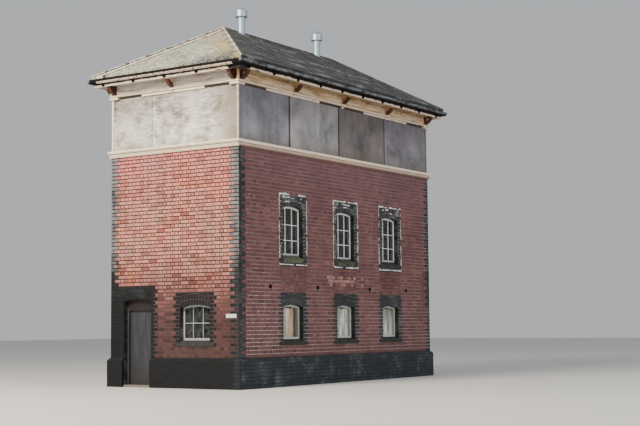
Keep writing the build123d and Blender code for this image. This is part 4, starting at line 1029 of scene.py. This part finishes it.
# Darker towards the heads under the eaves: stains and painted shade
shaded = stained_or_shaded(tree, sheet, "#5A4F49", axes["Z"], 5.45, 6.45, 0.9, (broad,), "MULTIPLY")
algae = stained_or_shaded(tree, shaded, "#6F6B52", axes["Z"], 5.65, 5.25, 0.8, (blotch,))
grain = streaks(tree, where, (0.1, 0.1, 1.0), {"Scale": 45.0, "Detail": 5.0})
grained = node(
    tree, "MixRGB", {"blend_type": "OVERLAY", "Fac": 0.22}, {"Color1": algae, "Color2": grain}
)["Color"]
dress(tree, shader, grained, grain, strength=0.3, depth=0.001)
for name in ("front_sheets", "back_sheets", "door_end_sheets", "far_end_sheets"):
    coat(name, plywood)

# Old deal: sawn softwood that was never painted here, nearly black with soot.
sooty_deal, tree, shader, where = finish_of("sooty_sawn_deal", {"Roughness": 0.85, "IOR": 1.5})
grain = node(tree, "TexNoise", {"Scale": 30.0, "Detail": 6.0}, {"Vector": where})["Fac"]
dark = node(tree, "ValToRGB", {"stops": ((0.3, "#211C19"), (0.75, "#463B33"))}, {"Fac": grain})["Color"]
dress(tree, shader, dark, grain, strength=0.4, depth=0.001)
for name in ("studs", "wall_heads"):
    coat(name, sooty_deal)

# Nails round the edges of each sheet: galvanised clouts, at about 300 mm.
nail_radius, nail_inset = 0.006, 0.03
nail_proud, nail_edge = 0.0015, 0.0008
nail_gauge, nail_rows, nail_stray = 0.3, 5, 0.008
foot_row, head_row = 5.27, 6.395
sheet_depth = 0.025
nail_heads = new_pieces()
sheet_edges = {"front": (0.05, 1.88, 1.95, 3.895, 3.945, 5.965, 6.015, 8.07)}
sheet_edges["back"] = sheet_edges["front"]
sheet_edges["door_end"] = sheet_edges["far_end"] = (0.05, 2.394, 2.406, 3.53)
for side, edges in sheet_edges.items():
    outward = walls[side][2]
    for left, right in zip(edges[::2], edges[1::2]):
        places = []
        for index in range(nail_rows):
            level = foot_row + (head_row - foot_row) * index / (nail_rows - 1)
            places += [(left + nail_inset, level), (right - nail_inset, level), ((left + right) / 2, level)]
        count = round((right - left) / nail_gauge)
        for index in range(1, count):
            places += [(left + (right - left) * index / count, level) for level in (foot_row, head_row)]
        for along, level in places:
            along += dice.uniform(-nail_stray, nail_stray)
            level += dice.uniform(-nail_stray, nail_stray)
            corners = [
                spot(side, along + nail_radius * math.cos(t), -sheet_depth, level + nail_radius * math.sin(t))
                for t in (0, 1.047, 2.094, 3.142, 4.189, 5.236)
            ]
            lay(nail_heads, corners, outward, nail_proud, nail_edge, even_tone)

# Galvanised steel: zinc gone white and dull, with a fine spangle.
dull_zinc, tree, shader, where = finish_of("dull_galvanised_steel", {"Roughness": 0.5, "Metallic": 0.85})
spangle = node(tree, "TexVoronoi", {"Scale": 34.0}, {"Vector": where})["Distance"]
stain = streaks(tree, where, (1.0, 1.0, 0.25), {"Scale": 6.0, "Detail": 6.0})
mixed = node(tree, "MixRGB", {"Fac": 0.65}, {"Color1": spangle, "Color2": stain})["Color"]
zinc = node(
    tree, "ValToRGB", {"stops": ((0.25, "#8F9CA6"), (0.5, "#B4C3CF"), (0.75, "#CBD7DF"))}, {"Fac": mixed}
)["Color"]
tree.links.new(zinc, shader.inputs["Base Color"])
place("sheet_nails", nail_heads, dull_zinc)

# Frieze, soffit and mouldings. Planed boards between the sheets and the gutter, cream like the
# rest but sheltered, so that their coat has yellowed instead of chalking. Their deeper ochre along
# the track side is partly painted shade, the paler cream on the sunny end is painted sunlight, and
# they are painted dark towards the soffit and at the eaves corner as shade.

yellowed_paint, tree, shader, where = finish_of("yellowed_cream_oil_paint", {"Roughness": 0.55, "IOR": 1.47})
grime = streaks(tree, where, (0.3, 0.3, 2.5), {"Scale": 8.0, "Detail": 8.0, "Roughness": 0.68})
# Ochre along the track side: partly yellowing, partly painted shade
ochre = node(
    tree, "ValToRGB", {"stops": ((0.36, "#8A6A4C"), (0.48, "#C6A67E"), (0.66, "#E4CFAC"))}, {"Fac": grime}
)["Color"]
axes = node(tree, "SeparateXYZ", {}, {"Vector": where})
sunny_end = node(tree, "Math", {"operation": "LESS_THAN", 1: -4.03}, {0: axes["X"]})["Value"]
pale_and_sunlit = node(
    tree, "ValToRGB", {"stops": ((0.35, "#A08B7C"), (0.48, "#DACCBE"), (0.64, "#F0E8DE"))}, {"Fac": grime}
)["Color"]
board = node(tree, "MixRGB", {}, {"Fac": sunny_end, "Color1": ochre, "Color2": pale_and_sunlit})["Color"]
# Darker towards the soffit and at the eaves corner: painted shade
eaves_shade = node(
    tree, "MapRange", {"From Min": 6.64, "From Max": 6.73, "To Max": 0.5}, {"Value": axes["Z"]}
)["Result"]
corner = node(tree, "Math", {"operation": "ADD"}, {0: axes["X"], 1: axes["Y"]})["Value"]
corner = node(
    tree, "MapRange", {"From Min": -5.70, "From Max": -5.74, "To Max": 0.95}, {"Value": corner}
)["Result"]
eaves_shade = node(tree, "Math", {"operation": "MAXIMUM"}, {0: eaves_shade, 1: corner})["Value"]
board = node(tree, "MixRGB", {"Color2": colour("#1F130F")}, {"Fac": eaves_shade, "Color1": board})["Color"]
dress(tree, shader, board, grime, strength=0.25, depth=0.001)
for name in ("friezes", "soffits"):
    coat(name, yellowed_paint)
for name in ("mouldings", "corner_blocks", "fascias"):
    coat(name, cream_paint)

# Corner beads: cream on the arris, which keeps its paint, and weathered silver on both faces.
bead_paint, tree, shader, where = finish_of("worn_cream_corner_bead", {"Roughness": 0.7, "IOR": 1.47})
axes = node(tree, "SeparateXYZ", {}, {"Vector": where})
past_end, past_side = past(tree, axes, 4.038, 1.768)
arris_near = node(tree, "Math", {"operation": "MINIMUM"}, {0: past_end, 1: past_side})["Value"]
arris_near = node(tree, "Math", {"operation": "GREATER_THAN", 1: 0.0}, {0: arris_near})["Value"]
far_corner = node(tree, "Math", {"operation": "GREATER_THAN", 1: 0.0}, {0: axes["Y"]})["Value"]
kept = node(tree, "Math", {"operation": "MAXIMUM"}, {0: arris_near, 1: far_corner})["Value"]
wear = node(tree, "TexNoise", {"Scale": 20.0, "Detail": 7.0, "Roughness": 0.7}, {"Vector": where})["Fac"]
bare = node(tree, "ValToRGB", {"stops": ((0.35, "#6A655F"), (0.65, "#A7A299"))}, {"Fac": wear})["Color"]
cream = node(tree, "ValToRGB", {"stops": ((0.32, "#B5A68E"), (0.55, "#EDE4D0"))}, {"Fac": wear})["Color"]
bead = node(tree, "MixRGB", {}, {"Fac": kept, "Color1": bare, "Color2": cream})["Color"]
dress(tree, shader, bead, wear, strength=0.3, depth=0.001)
coat("corner_beads", bead_paint)

# Eaves brackets. Curved braces of pine with arms along the wall and the soffit, spiked
# through the frieze. The braces are maroon gone dark, painted lighter on faces turned to the sunny
# end as sunlight; the arms take the yellowed cream of the frieze, with its painted shade along the
# track side and its painted sunlight on the sunny end.

bracket_paint, tree, shader, where = finish_of("maroon_bracket_paint", {"Roughness": 0.52, "IOR": 1.47})
wear = node(tree, "TexNoise", {"Scale": 22.0, "Detail": 7.0, "Roughness": 0.7}, {"Vector": where})["Fac"]
maroon = node(
    tree, "ValToRGB", {"stops": ((0.28, "#210E0B"), (0.52, "#3C1913"), (0.8, "#5C2E24"))}, {"Fac": wear}
)["Color"]
normal = node(tree, "SeparateXYZ", {}, {"Vector": node(tree, "NewGeometry", {})["Normal"]})["X"]
# Faces turned to the sunny end are painted lighter: painted sunlight
painted = stained_or_shaded(tree, maroon, "#703828", normal, -0.2, -0.8, 0.55)
axes = node(tree, "SeparateXYZ", {}, {"Vector": where})
past_end, past_side = past(tree, axes, run_long / 2, run_end / 2)
stand_off = node(tree, "Math", {"operation": "MAXIMUM"}, {0: past_end, 1: past_side})["Value"]
from_corner = node(tree, "Math", {"operation": "MINIMUM"}, {0: past_end, 1: past_side})["Value"]
between_corners = node(tree, "Math", {"operation": "LESS_THAN", 1: -0.30}, {0: from_corner})["Value"]
wall_arm = node(tree, "Math", {"operation": "LESS_THAN", 1: 0.036}, {0: stand_off})["Value"]
top_arm = node(tree, "Math", {"operation": "GREATER_THAN", 1: 6.684}, {0: axes["Z"]})["Value"]
arm = node(tree, "Math", {"operation": "MAXIMUM"}, {0: wall_arm, 1: top_arm})["Value"]
arm = node(tree, "Math", {"operation": "MULTIPLY"}, {0: arm, 1: between_corners})["Value"]
# The arms take the frieze's colours: ochre with painted shade on the track side, pale as painted sunlight on
# the sunny end
sunny_end = node(tree, "Math", {"operation": "LESS_THAN", 1: -4.05}, {0: axes["X"]})["Value"]
arm_coat = node(
    tree, "MixRGB", {"Color1": colour("#B8976C"), "Color2": colour("#CDBFAE")}, {"Fac": sunny_end}
)["Color"]
painted = node(tree, "MixRGB", {}, {"Fac": arm, "Color1": painted, "Color2": arm_coat})["Color"]
dress(tree, shader, painted, wear, strength=0.3, depth=0.001)
coat("eaves_brackets", bracket_paint)

# Gutters. Deep half-round cast-iron gutters in six-foot lengths, socketed, bolted and held by
# flat brackets screwed to the fascia.

# Cast iron under black bitumen paint: flat and dark, brown where rust comes through, and grey
# along the lips of the long gutters, which is silt and a painted reflection of the sky.
cast_iron, tree, shader, where = finish_of(
    "bitumened_cast_iron", {"Roughness": 0.75, "Specular IOR Level": 0.15}
)
scale = node(tree, "TexNoise", {"Scale": 16.0, "Detail": 8.0, "Roughness": 0.7}, {"Vector": where})["Fac"]
iron = node(
    tree, "ValToRGB", {"stops": ((0.35, "#0A0909"), (0.6, "#151110"), (0.8, "#2C1F1A"))}, {"Fac": scale}
)["Color"]
axes = node(tree, "SeparateXYZ", {}, {"Vector": where})
sides_out = node(tree, "Math", {"operation": "ABSOLUTE"}, {0: axes["Y"]})["Value"]
sides_out = node(tree, "Math", {"operation": "GREATER_THAN", 1: 2.12}, {0: sides_out})["Value"]
# Grey along the lips: silt and a painted reflection of the sky
lip = node(tree, "MapRange", {"From Min": 6.792, "From Max": 6.812}, {"Value": axes["Z"]})["Result"]
silt_and_sky_reflection = streaks(tree, where, (0.4, 1.0, 1.0), {"Scale": 10.0, "Detail": 7.0, "Roughness": 0.75})
silt_and_sky_reflection = node(tree, "MapRange", {"From Min": 0.42, "From Max": 0.58, "To Min": 0.2}, {"Value": silt_and_sky_reflection})["Result"]
for mask in (lip, sides_out):
    silt_and_sky_reflection = node(tree, "Math", {"operation": "MULTIPLY"}, {0: silt_and_sky_reflection, 1: mask})["Value"]
lipped_iron = node(tree, "MixRGB", {"Color2": colour("#7B7D80")}, {"Fac": silt_and_sky_reflection, "Color1": iron})["Color"]
# Over the door the gutter's underside is pale cream, broken into flakes
sunny_end = node(tree, "Math", {"operation": "LESS_THAN", 1: -4.30}, {0: axes["X"]})["Value"]
off_corner = node(tree, "Math", {"operation": "ABSOLUTE"}, {0: axes["Y"]})["Value"]
off_corner = node(tree, "Math", {"operation": "LESS_THAN", 1: 1.92}, {0: off_corner})["Value"]
pale_underside = node(tree, "MapRange", {"From Min": 6.812, "From Max": 6.802}, {"Value": axes["Z"]})["Result"]
flakes = node(tree, "TexNoise", {"Scale": 8.0, "Detail": 5.0, "Roughness": 0.7}, {"Vector": where})["Fac"]
flakes = node(tree, "MapRange", {"From Min": 0.34, "From Max": 0.42}, {"Value": flakes})["Result"]
clear_of_straps = node(tree, "Math", {"operation": "GREATER_THAN", 1: 6.7685}, {0: axes["Z"]})["Value"]
for mask in (sunny_end, off_corner, clear_of_straps, flakes):
    pale_underside = node(tree, "Math", {"operation": "MULTIPLY"}, {0: pale_underside, 1: mask})["Value"]
pale_cream = node(tree, "ValToRGB", {"stops": ((0.35, "#A08C78"), (0.6, "#E4D8C8"))}, {"Fac": scale})["Color"]
lipped_iron = node(tree, "MixRGB", {}, {"Fac": pale_underside, "Color1": lipped_iron, "Color2": pale_cream})["Color"]
dress(tree, shader, lipped_iron, scale, strength=0.35, depth=0.001)
for name in ("gutters", "gutter_brackets"):
    coat(name, cast_iron)

socket_length = 0.06
socket_proud = 0.006
gutter_length = 1.83
gutter_radius = 0.06
gutter_centre = 0.34  # from the brick face
gutter_back = 0.283
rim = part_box("gutters")[1][2]
hollow = rim - 0.035  # the level that the round of the gutter is struck from
outline = [(gutter_centre + gutter_radius, rim - 0.002)]
for step in range(9):
    t = -math.pi * step / 8
    outline.append((gutter_centre + gutter_radius * math.cos(t), hollow + gutter_radius * math.sin(t)))
gutter_sockets = new_pieces()
for side, (_, _, outward, run) in walls.items():
    count = round(run / gutter_length)
    for index in range(1, count):
        at = run * index / count
        for (out_a, z_a), (out_b, z_b) in zip(outline, outline[1:]):
            if out_b < gutter_back:
                continue
            corners = [
                spot(side, s, out, z)
                for s, out, z in (
                    (at - socket_length / 2, out_a, z_a),
                    (at + socket_length / 2, out_a, z_a),
                    (at + socket_length / 2, out_b, z_b),
                    (at - socket_length / 2, out_b, z_b),
                )
            ]
            middle_out, middle_z = (out_a + out_b) / 2 - gutter_centre, (z_a + z_b) / 2 - hollow
            facing = outward * middle_out + Vector((0, 0, min(middle_z, 0.0)))
            lay(gutter_sockets, corners, facing.normalized(), socket_proud, 0.0, even_tone)
place("gutter_sockets", gutter_sockets, cast_iron)

# Slates. Welsh slates about 510 by 255 mm, split, dressed and nailed on battens with each
# course over the heads of the one below it. A few have slipped; each is cut to the hips.

pitch = math.radians(30.5)
overhang = 0.33
eave_height = 6.9358
slate_width = 0.255
slate_gap = 0.003
slate_edge = 0.001
slate_rows = 12
hip_offset = (run_long - run_end) / 2  # on a hip, |x| is |y| plus this
rake = (run_end / 2 + overhang) / math.cos(pitch)
row_gauge = rake / slate_rows


def trimmed(corners, line):
    """The part of a flat outline on the kept side of a line, given as a, b, c of a*u + b*v + c >= 0."""
    kept = []
    for index, point in enumerate(corners):
        last = corners[index - 1]
        here = line[0] * point[0] + line[1] * point[1] + line[2]
        there = line[0] * last[0] + line[1] * last[1] + line[2]
        if (here >= 0) != (there >= 0):
            share = there / (there - here)
            kept.append((last[0] + (point[0] - last[0]) * share, last[1] + (point[1] - last[1]) * share))
        if here >= 0:
            kept.append(point)
    return kept


slates = new_pieces()
for side, (_, _, outward, run) in walls.items():
    facing = (outward * math.sin(pitch) + Vector((0, 0, math.cos(pitch)))).normalized()
    for row in range(slate_rows):
        low, high = row * row_gauge, (row + 1) * row_gauge
        widest = run / 2 + overhang - low * math.cos(pitch)
        shift = 0.5 * (row % 2)
        count = int(2 * widest / slate_width) + 3
        for index in range(count):
            a = (index - count // 2 - shift) * slate_width + slate_gap / 2
            b = a + slate_width - slate_gap
            slip = dice.uniform(-0.003, 0.003) - (0.02 if dice.random() < 0.015 and row else 0.0)
            outline = [(a, low + slip), (b, low + slip + dice.uniform(-0.003, 0.003)), (b, high), (a, high)]
            if row == 0:
                outline = [(u, max(v, 0.002)) for u, v in outline]
            hip = run / 2 + overhang - 0.012
            for line in ((1, -math.cos(pitch), hip), (-1, -math.cos(pitch), hip)):
                if len(outline) > 2:
                    outline = trimmed(outline, line)
            clear = [p for i, p in enumerate(outline) if math.dist(p, outline[i - 1]) > 0.006]
            if len(clear) < 3:
                continue
            corners = [
                spot(side, run / 2 + u, overhang - v * math.cos(pitch), eave_height + v * math.sin(pitch))
                for u, v in clear
            ]
            lifted = dice.uniform(0.0085, 0.012)
            rises = [lifted - (lifted - 0.003) * (v - low) / row_gauge for u, v in clear]
            lay(slates, corners, facing, rises, slate_edge, dice.random())
    # The butts of the doubled course over the gutter
    for layer, (foot_z, head_z) in enumerate(((6.889, 6.9105), (6.912, 6.934))):
        at = -overhang + 0.01 + layer * 0.11
        while at < run + overhang - 0.02:
            end = min(at + slate_width - slate_gap, run + overhang - 0.005)
            drop = dice.uniform(0.0, 0.004)
            corners = wall_face(side, at, end, overhang + 0.001, foot_z + drop, head_z)
            lay(slates, corners, outward, 0.004 + 0.003 * layer, slate_edge, dice.uniform(0.5, 1.0))
            at += slate_width

# Welsh slate: blue-grey split stone with a riven face. The long slopes are dark with soot and
# speckled with grey lichen; the sunny end is crusted buff, green in patches towards its far hip
# and orange by the near one.
welsh_slate, tree, shader, where = finish_of("lichened_welsh_slate", {"Roughness": 0.74, "IOR": 1.55})
tone = node(tree, "Attribute", {"attribute_name": "tone"})["Fac"]
body = node(
    tree, "ValToRGB", {"stops": ((0.0, "#1C1D1E"), (0.5, "#262727"), (1.0, "#353535"))}, {"Fac": tone}
)["Color"]
axes = node(tree, "SeparateXYZ", {}, {"Vector": where})
normal = node(tree, "SeparateXYZ", {}, {"Vector": node(tree, "NewGeometry", {})["Normal"]})["Z"]
sunny_end = node(tree, "Math", {"operation": "ABSOLUTE"}, {0: axes["Y"]})["Value"]
sunny_end = node(tree, "Math", {"operation": "ADD"}, {0: sunny_end, 1: axes["X"]})["Value"]
sunny_end = node(tree, "Math", {"operation": "LESS_THAN", 1: -hip_offset}, {0: sunny_end})["Value"]
lumps = streaks(tree, where, (0.38, 1.0, 1.0), {"Scale": 4.2, "Detail": 8.0, "Roughness": 0.66})
moss_dark = node(
    tree, "ValToRGB",
    {"stops": ((0.38, "#1D1E1E"), (0.48, "#303130"), (0.555, "#454745"), (0.61, "#6E7275"),
               (0.70, "#9BA0A4"))},
    {"Fac": lumps},
)["Color"]
track_slope = node(tree, "MixRGB", {"Fac": 0.85}, {"Color1": body, "Color2": moss_dark})["Color"]
crust = node(tree, "TexNoise", {"Scale": 19.0, "Detail": 9.0, "Roughness": 0.8}, {"Vector": where})["Fac"]
spread = node(tree, "TexNoise", {"Scale": 1.7, "Detail": 5.0}, {"Vector": where})["Fac"]
washed_foot = node(tree, "MapRange", {"From Min": 7.35, "From Max": 6.95}, {"Value": axes["Z"]})["Result"]
near_side = node(
    tree, "MapRange", {"From Min": -0.3, "From Max": -1.7, "To Max": -0.12}, {"Value": axes["Y"]}
)["Result"]
bared = node(tree, "Math", {"operation": "MULTIPLY"}, {0: washed_foot, 1: near_side})["Value"]
grown = node(tree, "Math", {"operation": "MULTIPLY_ADD", 1: 0.35}, {0: spread, 2: crust})["Value"]
grown = node(tree, "Math", {"operation": "ADD"}, {0: grown, 1: bared})["Value"]
cover = node(tree, "ValToRGB", {"stops": ((0.56, "#000000"), (0.64, "#E8E8E8"))}, {"Fac": grown})["Color"]
hue = node(tree, "TexNoise", {"Scale": 9.0, "Detail": 7.0, "Roughness": 0.75}, {"Vector": where})["Fac"]
buff = node(
    tree, "ValToRGB",
    {"stops": ((0.36, "#87866F"), (0.47, "#B5B39F"), (0.57, "#D9D6C8"), (0.7, "#F1EFE6"))},
    {"Fac": hue},
)["Color"]
green = node(tree, "TexNoise", {"Scale": 2.3, "Detail": 5.0, "Roughness": 0.6}, {"Vector": where})["Fac"]
middle = node(tree, "MapRange", {"From Min": -1.0, "From Max": 0.2}, {"Value": axes["Y"]})["Result"]
buff = stained_or_shaded(tree, buff, "#AEB98C", green, 0.50, 0.60, 0.8, (middle,))
beside = node(tree, "Math", {"operation": "SUBTRACT"}, {0: axes["Y"], 1: axes["X"]})["Value"]
beside = node(tree, "Math", {"operation": "SUBTRACT", 1: hip_offset}, {0: beside})["Value"]
beside = node(
    tree, "MapRange", {"From Min": 0.9, "From Max": 0.1, "To Max": 1.4}, {"Value": beside}
)["Result"]
orange = node(tree, "Math", {"operation": "MULTIPLY"}, {0: beside, 1: hue})["Value"]
low_down = node(tree, "MapRange", {"From Min": 7.9, "From Max": 7.5}, {"Value": axes["Z"]})["Result"]
lichen = node(
    tree, "MixRGB", {"Color1": colour("#BFA084"), "Color2": colour("#C2A24E")}, {"Fac": low_down}
)["Color"]
buff = node(tree, "MixRGB", {}, {"Fac": orange, "Color1": buff, "Color2": lichen})["Color"]
speck = node(tree, "TexNoise", {"Scale": 34.0, "Detail": 4.0, "Roughness": 0.7}, {"Vector": where})["Fac"]
buff = stained_or_shaded(tree, buff, "#45443B", speck, 0.47, 0.38, 0.85)
bare = node(tree, "MixRGB", {"Fac": 0.35, "Color2": colour("#6F7275")}, {"Color1": body})["Color"]
sunny_slope = node(tree, "MixRGB", {}, {"Fac": cover, "Color1": bare, "Color2": buff})["Color"]
# The mortar run in beside the far hip, and below it a dark line of painted shade where the joint is open
reach = node(tree, "Math", {"operation": "ADD"}, {0: axes["X"], 1: axes["Y"]})["Value"]
reach = node(tree, "Math", {"operation": "MULTIPLY_ADD", 1: -1.0, 2: -hip_offset}, {0: reach})["Value"]
for distance, half, share, shade in ((0.25, 0.10, 0.8, "#DCD0C2"), (0.40, 0.05, 0.9, "#2A2421")):
    strip = node(tree, "Math", {"operation": "COMPARE", 1: distance, 2: half}, {0: reach})["Value"]
    strip = node(tree, "Math", {"operation": "MULTIPLY", 1: share}, {0: strip})["Value"]
    sunny_slope = node(
        tree, "MixRGB", {"Color2": colour(shade)}, {"Fac": strip, "Color1": sunny_slope}
    )["Color"]
crusted = node(
    tree, "MixRGB", {}, {"Fac": sunny_end, "Color1": track_slope, "Color2": sunny_slope}
)["Color"]
slated = stained_or_shaded(tree, crusted, "#3A3029", normal, -0.8, -0.95)
riven = node(tree, "TexNoise", {"Scale": 75.0, "Detail": 6.0}, {"Vector": where})["Fac"]
dress(tree, shader, slated, riven, strength=0.5, depth=0.002)
place("roof_slates", slates, welsh_slate)

# The slab under them shows at the eaves as the edge of the doubled first course, and from the
# rooms as boarding.
for name in ("front_slope", "back_slope", "door_end_slope", "far_end_slope"):
    coat(name, welsh_slate)

# Ridge and hips. Fired clay tiles with a roll along the top, bedded in mortar in 450 mm
# lengths.

# Fired clay, moulded and unglazed: dark with soot on the ridge and the far hips, pale with lichen
# and bedding mortar on the rolls of the door end's hips, and painted dark as shade on the wings and
# the back of the roll of the door end's far hip.
clay_tile, tree, shader, where = finish_of("lichened_clay_ridge_tile", {"Roughness": 0.8, "IOR": 1.5})
crust = node(tree, "TexNoise", {"Scale": 16.0, "Detail": 9.0, "Roughness": 0.76}, {"Vector": where})["Fac"]
axes = node(tree, "SeparateXYZ", {}, {"Vector": where})
clay = node(
    tree, "ValToRGB", {"stops": ((0.44, "#2A2927"), (0.52, "#4A4740"), (0.60, "#7C776A"))}, {"Fac": crust}
)["Color"]
crusted = node(
    tree, "ValToRGB", {"stops": ((0.36, "#6A6050"), (0.46, "#B3A68C"), (0.58, "#E4DACB"))}, {"Fac": crust}
)["Color"]
long = node(tree, "Math", {"operation": "ABSOLUTE"}, {0: axes["X"]})["Value"]
wide = node(tree, "Math", {"operation": "ABSOLUTE"}, {0: axes["Y"]})["Value"]
from_hip = node(tree, "Math", {"operation": "SUBTRACT"}, {0: long, 1: wide})["Value"]
from_hip = node(tree, "Math", {"operation": "SUBTRACT", 1: hip_offset}, {0: from_hip})["Value"]
sunny_wing = node(tree, "Math", {"operation": "GREATER_THAN", 1: 0.0}, {0: from_hip})["Value"]
from_hip = node(tree, "Math", {"operation": "ABSOLUTE"}, {0: from_hip})["Value"]
roll = node(tree, "Math", {"operation": "LESS_THAN", 1: 0.042}, {0: from_hip})["Value"]
near_end = node(tree, "Math", {"operation": "LESS_THAN", 1: -2.2}, {0: axes["X"]})["Value"]
wing = node(tree, "Math", {"operation": "MULTIPLY", 1: 0.45}, {0: sunny_wing})["Value"]
bright = node(tree, "Math", {"operation": "MAXIMUM"}, {0: roll, 1: wing})["Value"]
bright = node(tree, "Math", {"operation": "MULTIPLY"}, {0: bright, 1: near_end})["Value"]
tiled = node(tree, "MixRGB", {}, {"Fac": bright, "Color1": clay, "Color2": crusted})["Color"]
# On the door end's far hip the wings and the back of the roll are painted dark: painted shade
far_side = node(tree, "Math", {"operation": "GREATER_THAN", 1: 0.0}, {0: axes["Y"]})["Value"]
turned = node(tree, "SeparateXYZ", {}, {"Vector": node(tree, "NewGeometry", {})["Normal"]})["Y"]
turned = node(tree, "Math", {"operation": "GREATER_THAN", 1: 0.2}, {0: turned})["Value"]
flat_wing = node(tree, "Math", {"operation": "SUBTRACT", 0: 1.0}, {1: roll})["Value"]
shadow_line = node(tree, "Math", {"operation": "MAXIMUM"}, {0: flat_wing, 1: turned})["Value"]
for mask in (far_side, near_end):
    shadow_line = node(tree, "Math", {"operation": "MULTIPLY"}, {0: shadow_line, 1: mask})["Value"]
shadow_lined = node(tree, "MixRGB", {"Color2": colour("#2B2621")}, {"Fac": shadow_line, "Color1": tiled})["Color"]
lengths = node(tree, "Math", {"operation": "MULTIPLY", 1: 3.1}, {0: axes["X"]})["Value"]
into_tile = node(tree, "Math", {"operation": "FRACT"}, {0: lengths})["Value"]
joint_line = node(tree, "Math", {"operation": "LESS_THAN", 1: 0.18}, {0: into_tile})["Value"]
jointed = node(
    tree, "MixRGB", {"blend_type": "MULTIPLY", "Color2": colour("#857C70")},
    {"Fac": joint_line, "Color1": shadow_lined},
)["Color"]
relief = node(tree, "Math", {"operation": "SUBTRACT"}, {0: crust, 1: joint_line})["Value"]
dress(tree, shader, jointed, relief, strength=0.5, depth=0.003)
for name in ("hip_tiles", "ridge_tiles"):
    coat(name, clay_tile)

# Ventilators. Rolled galvanised sheet: a riveted pipe, a drum with a bead round each edge
# and a coned cap, standing on a dressed lead saddle over the ridge.

bead_radius, bead_proud = 0.006, 0.004
bead_facets = 40
ventilator_places = (-1.586, 1.586)  # along the ridge
drum_radius, pipe_radius = 0.145, 0.087
cap_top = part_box("ventilators")[1][2]
drum_foot, drum_top = cap_top - 0.260, cap_top - 0.118
vent_beads = new_pieces()
for centre in ventilator_places:
    for level, radius in (
        (drum_foot + 0.004, drum_radius), (drum_top - 0.004, drum_radius), (drum_foot - 0.09, pipe_radius)
    ):
        low, high = level - bead_radius, level + bead_radius
        for index in range(bead_facets):
            a, b = math.tau * index / bead_facets, math.tau * (index + 1) / bead_facets
            corners = [
                Vector((centre + radius * math.cos(t), radius * math.sin(t), z))
                for t, z in ((a, low), (b, low), (b, high), (a, high))
            ]
            middle = (a + b) / 2
            facing = Vector((math.cos(middle), math.sin(middle), 0))
            lay(vent_beads, corners, facing, bead_proud, 0.0, even_tone)
place("ventilator_beads", vent_beads, dull_zinc)
coat("ventilators", dull_zinc)

# Sheet lead: soft grey, dressed by hand, with a white bloom.
sheet_lead, tree, shader, where = finish_of("dressed_sheet_lead", {"Roughness": 0.6, "Metallic": 0.6})
bloom = node(tree, "TexNoise", {"Scale": 18.0, "Detail": 6.0}, {"Vector": where})["Fac"]
lead = node(tree, "ValToRGB", {"stops": ((0.35, "#4C5054"), (0.7, "#8A8F92"))}, {"Fac": bloom})["Color"]
dress(tree, shader, lead, bloom, strength=0.4, depth=0.003)
coat("ventilator_saddles", sheet_lead)

# Plate. A thin white enamelled plate, fixed flat to the end wall by the track-side corner. Its
# face is bare.

plate_proud, plate_edge = 0.003, 0.001
plate = new_pieces()
corners = wall_face("door_end", 0.06, 0.33, brick_proud, 1.49, 1.57)
lay(plate, corners, walls["door_end"][2], plate_proud, plate_edge, even_tone)

# Vitreous enamel on steel: glassy white, faintly grey with dirt.
white_enamel, tree, shader, where = finish_of("white_vitreous_enamel", {"Roughness": 0.25, "IOR": 1.5})
film = node(tree, "TexNoise", {"Scale": 20.0, "Detail": 4.0}, {"Vector": where})["Fac"]
white = node(tree, "ValToRGB", {"stops": ((0.3, "#C9C9C6"), (0.6, "#EFEFEC"))}, {"Fac": film})["Color"]
tree.links.new(white, shader.inputs["Base Color"])
place("bare_plate", plate, white_enamel)

# Studio. A pale floor, soft light from the left and above, and the camera where the
# photograph was taken from.

reach = 80
floor_mesh = bpy.data.meshes.new("studio_floor")
floor_corners = [(-reach, -reach, 0), (reach, -reach, 0), (reach, reach, 0), (-reach, reach, 0)]
floor_mesh.from_pydata(floor_corners, [], [(0, 1, 2, 3)])
studio_floor = bpy.data.objects.new("studio_floor", floor_mesh)
bpy.context.collection.objects.link(studio_floor)
backing = finish_of("pale_studio_floor", {"Roughness": 0.9, "Base Color": colour("#CFCDC8")})[0]
floor_mesh.materials.append(backing)

sky = bpy.data.worlds.new("studio_light")
bpy.context.scene.world = sky
sky.use_nodes = True
glow = sky.node_tree.nodes["Background"]
glow.inputs["Color"].default_value = colour("#E9EDF2")
glow.inputs["Strength"].default_value = 0.62

for name, at, aim, size, power, tint in (
    ("key", (-21, 1, 17), (-3, 0, 3), 7.0, 9500, "#FFF4E4"),
    ("fill", (-2, -24, 10), (0, 0, 3), 12.0, 1900, "#EEF3FA"),
):
    lamp = bpy.data.lights.new(name, "AREA")
    lamp.size = size
    lamp.energy = power
    lamp.color = colour(tint)[:3]
    holder = bpy.data.objects.new(name, lamp)
    holder.location = at
    holder.rotation_euler = (Vector(aim) - Vector(at)).to_track_quat("-Z", "Y").to_euler()
    bpy.context.collection.objects.link(holder)

eye = (-25.663, -18.327, 1.3335)
yaw, tilt, roll = 0.9802, 0.0854, -0.0087
forward = Vector((math.sin(yaw) * math.cos(tilt), math.cos(yaw) * math.cos(tilt), math.sin(tilt)))
level_right = Vector((math.cos(yaw), -math.sin(yaw), 0))
level_up = level_right.cross(forward)
right = level_right * math.cos(roll) + level_up * math.sin(roll)
up = level_up * math.cos(roll) - level_right * math.sin(roll)
camera = bpy.data.objects.new("camera", bpy.data.cameras.new("camera"))
camera.data.sensor_width = 36
camera.data.lens = 73.3
camera.data.clip_end = 400
camera.matrix_world = Matrix.Translation(eye) @ Matrix((right, up, -forward)).transposed().to_4x4()
bpy.context.collection.objects.link(camera)
bpy.context.scene.camera = camera
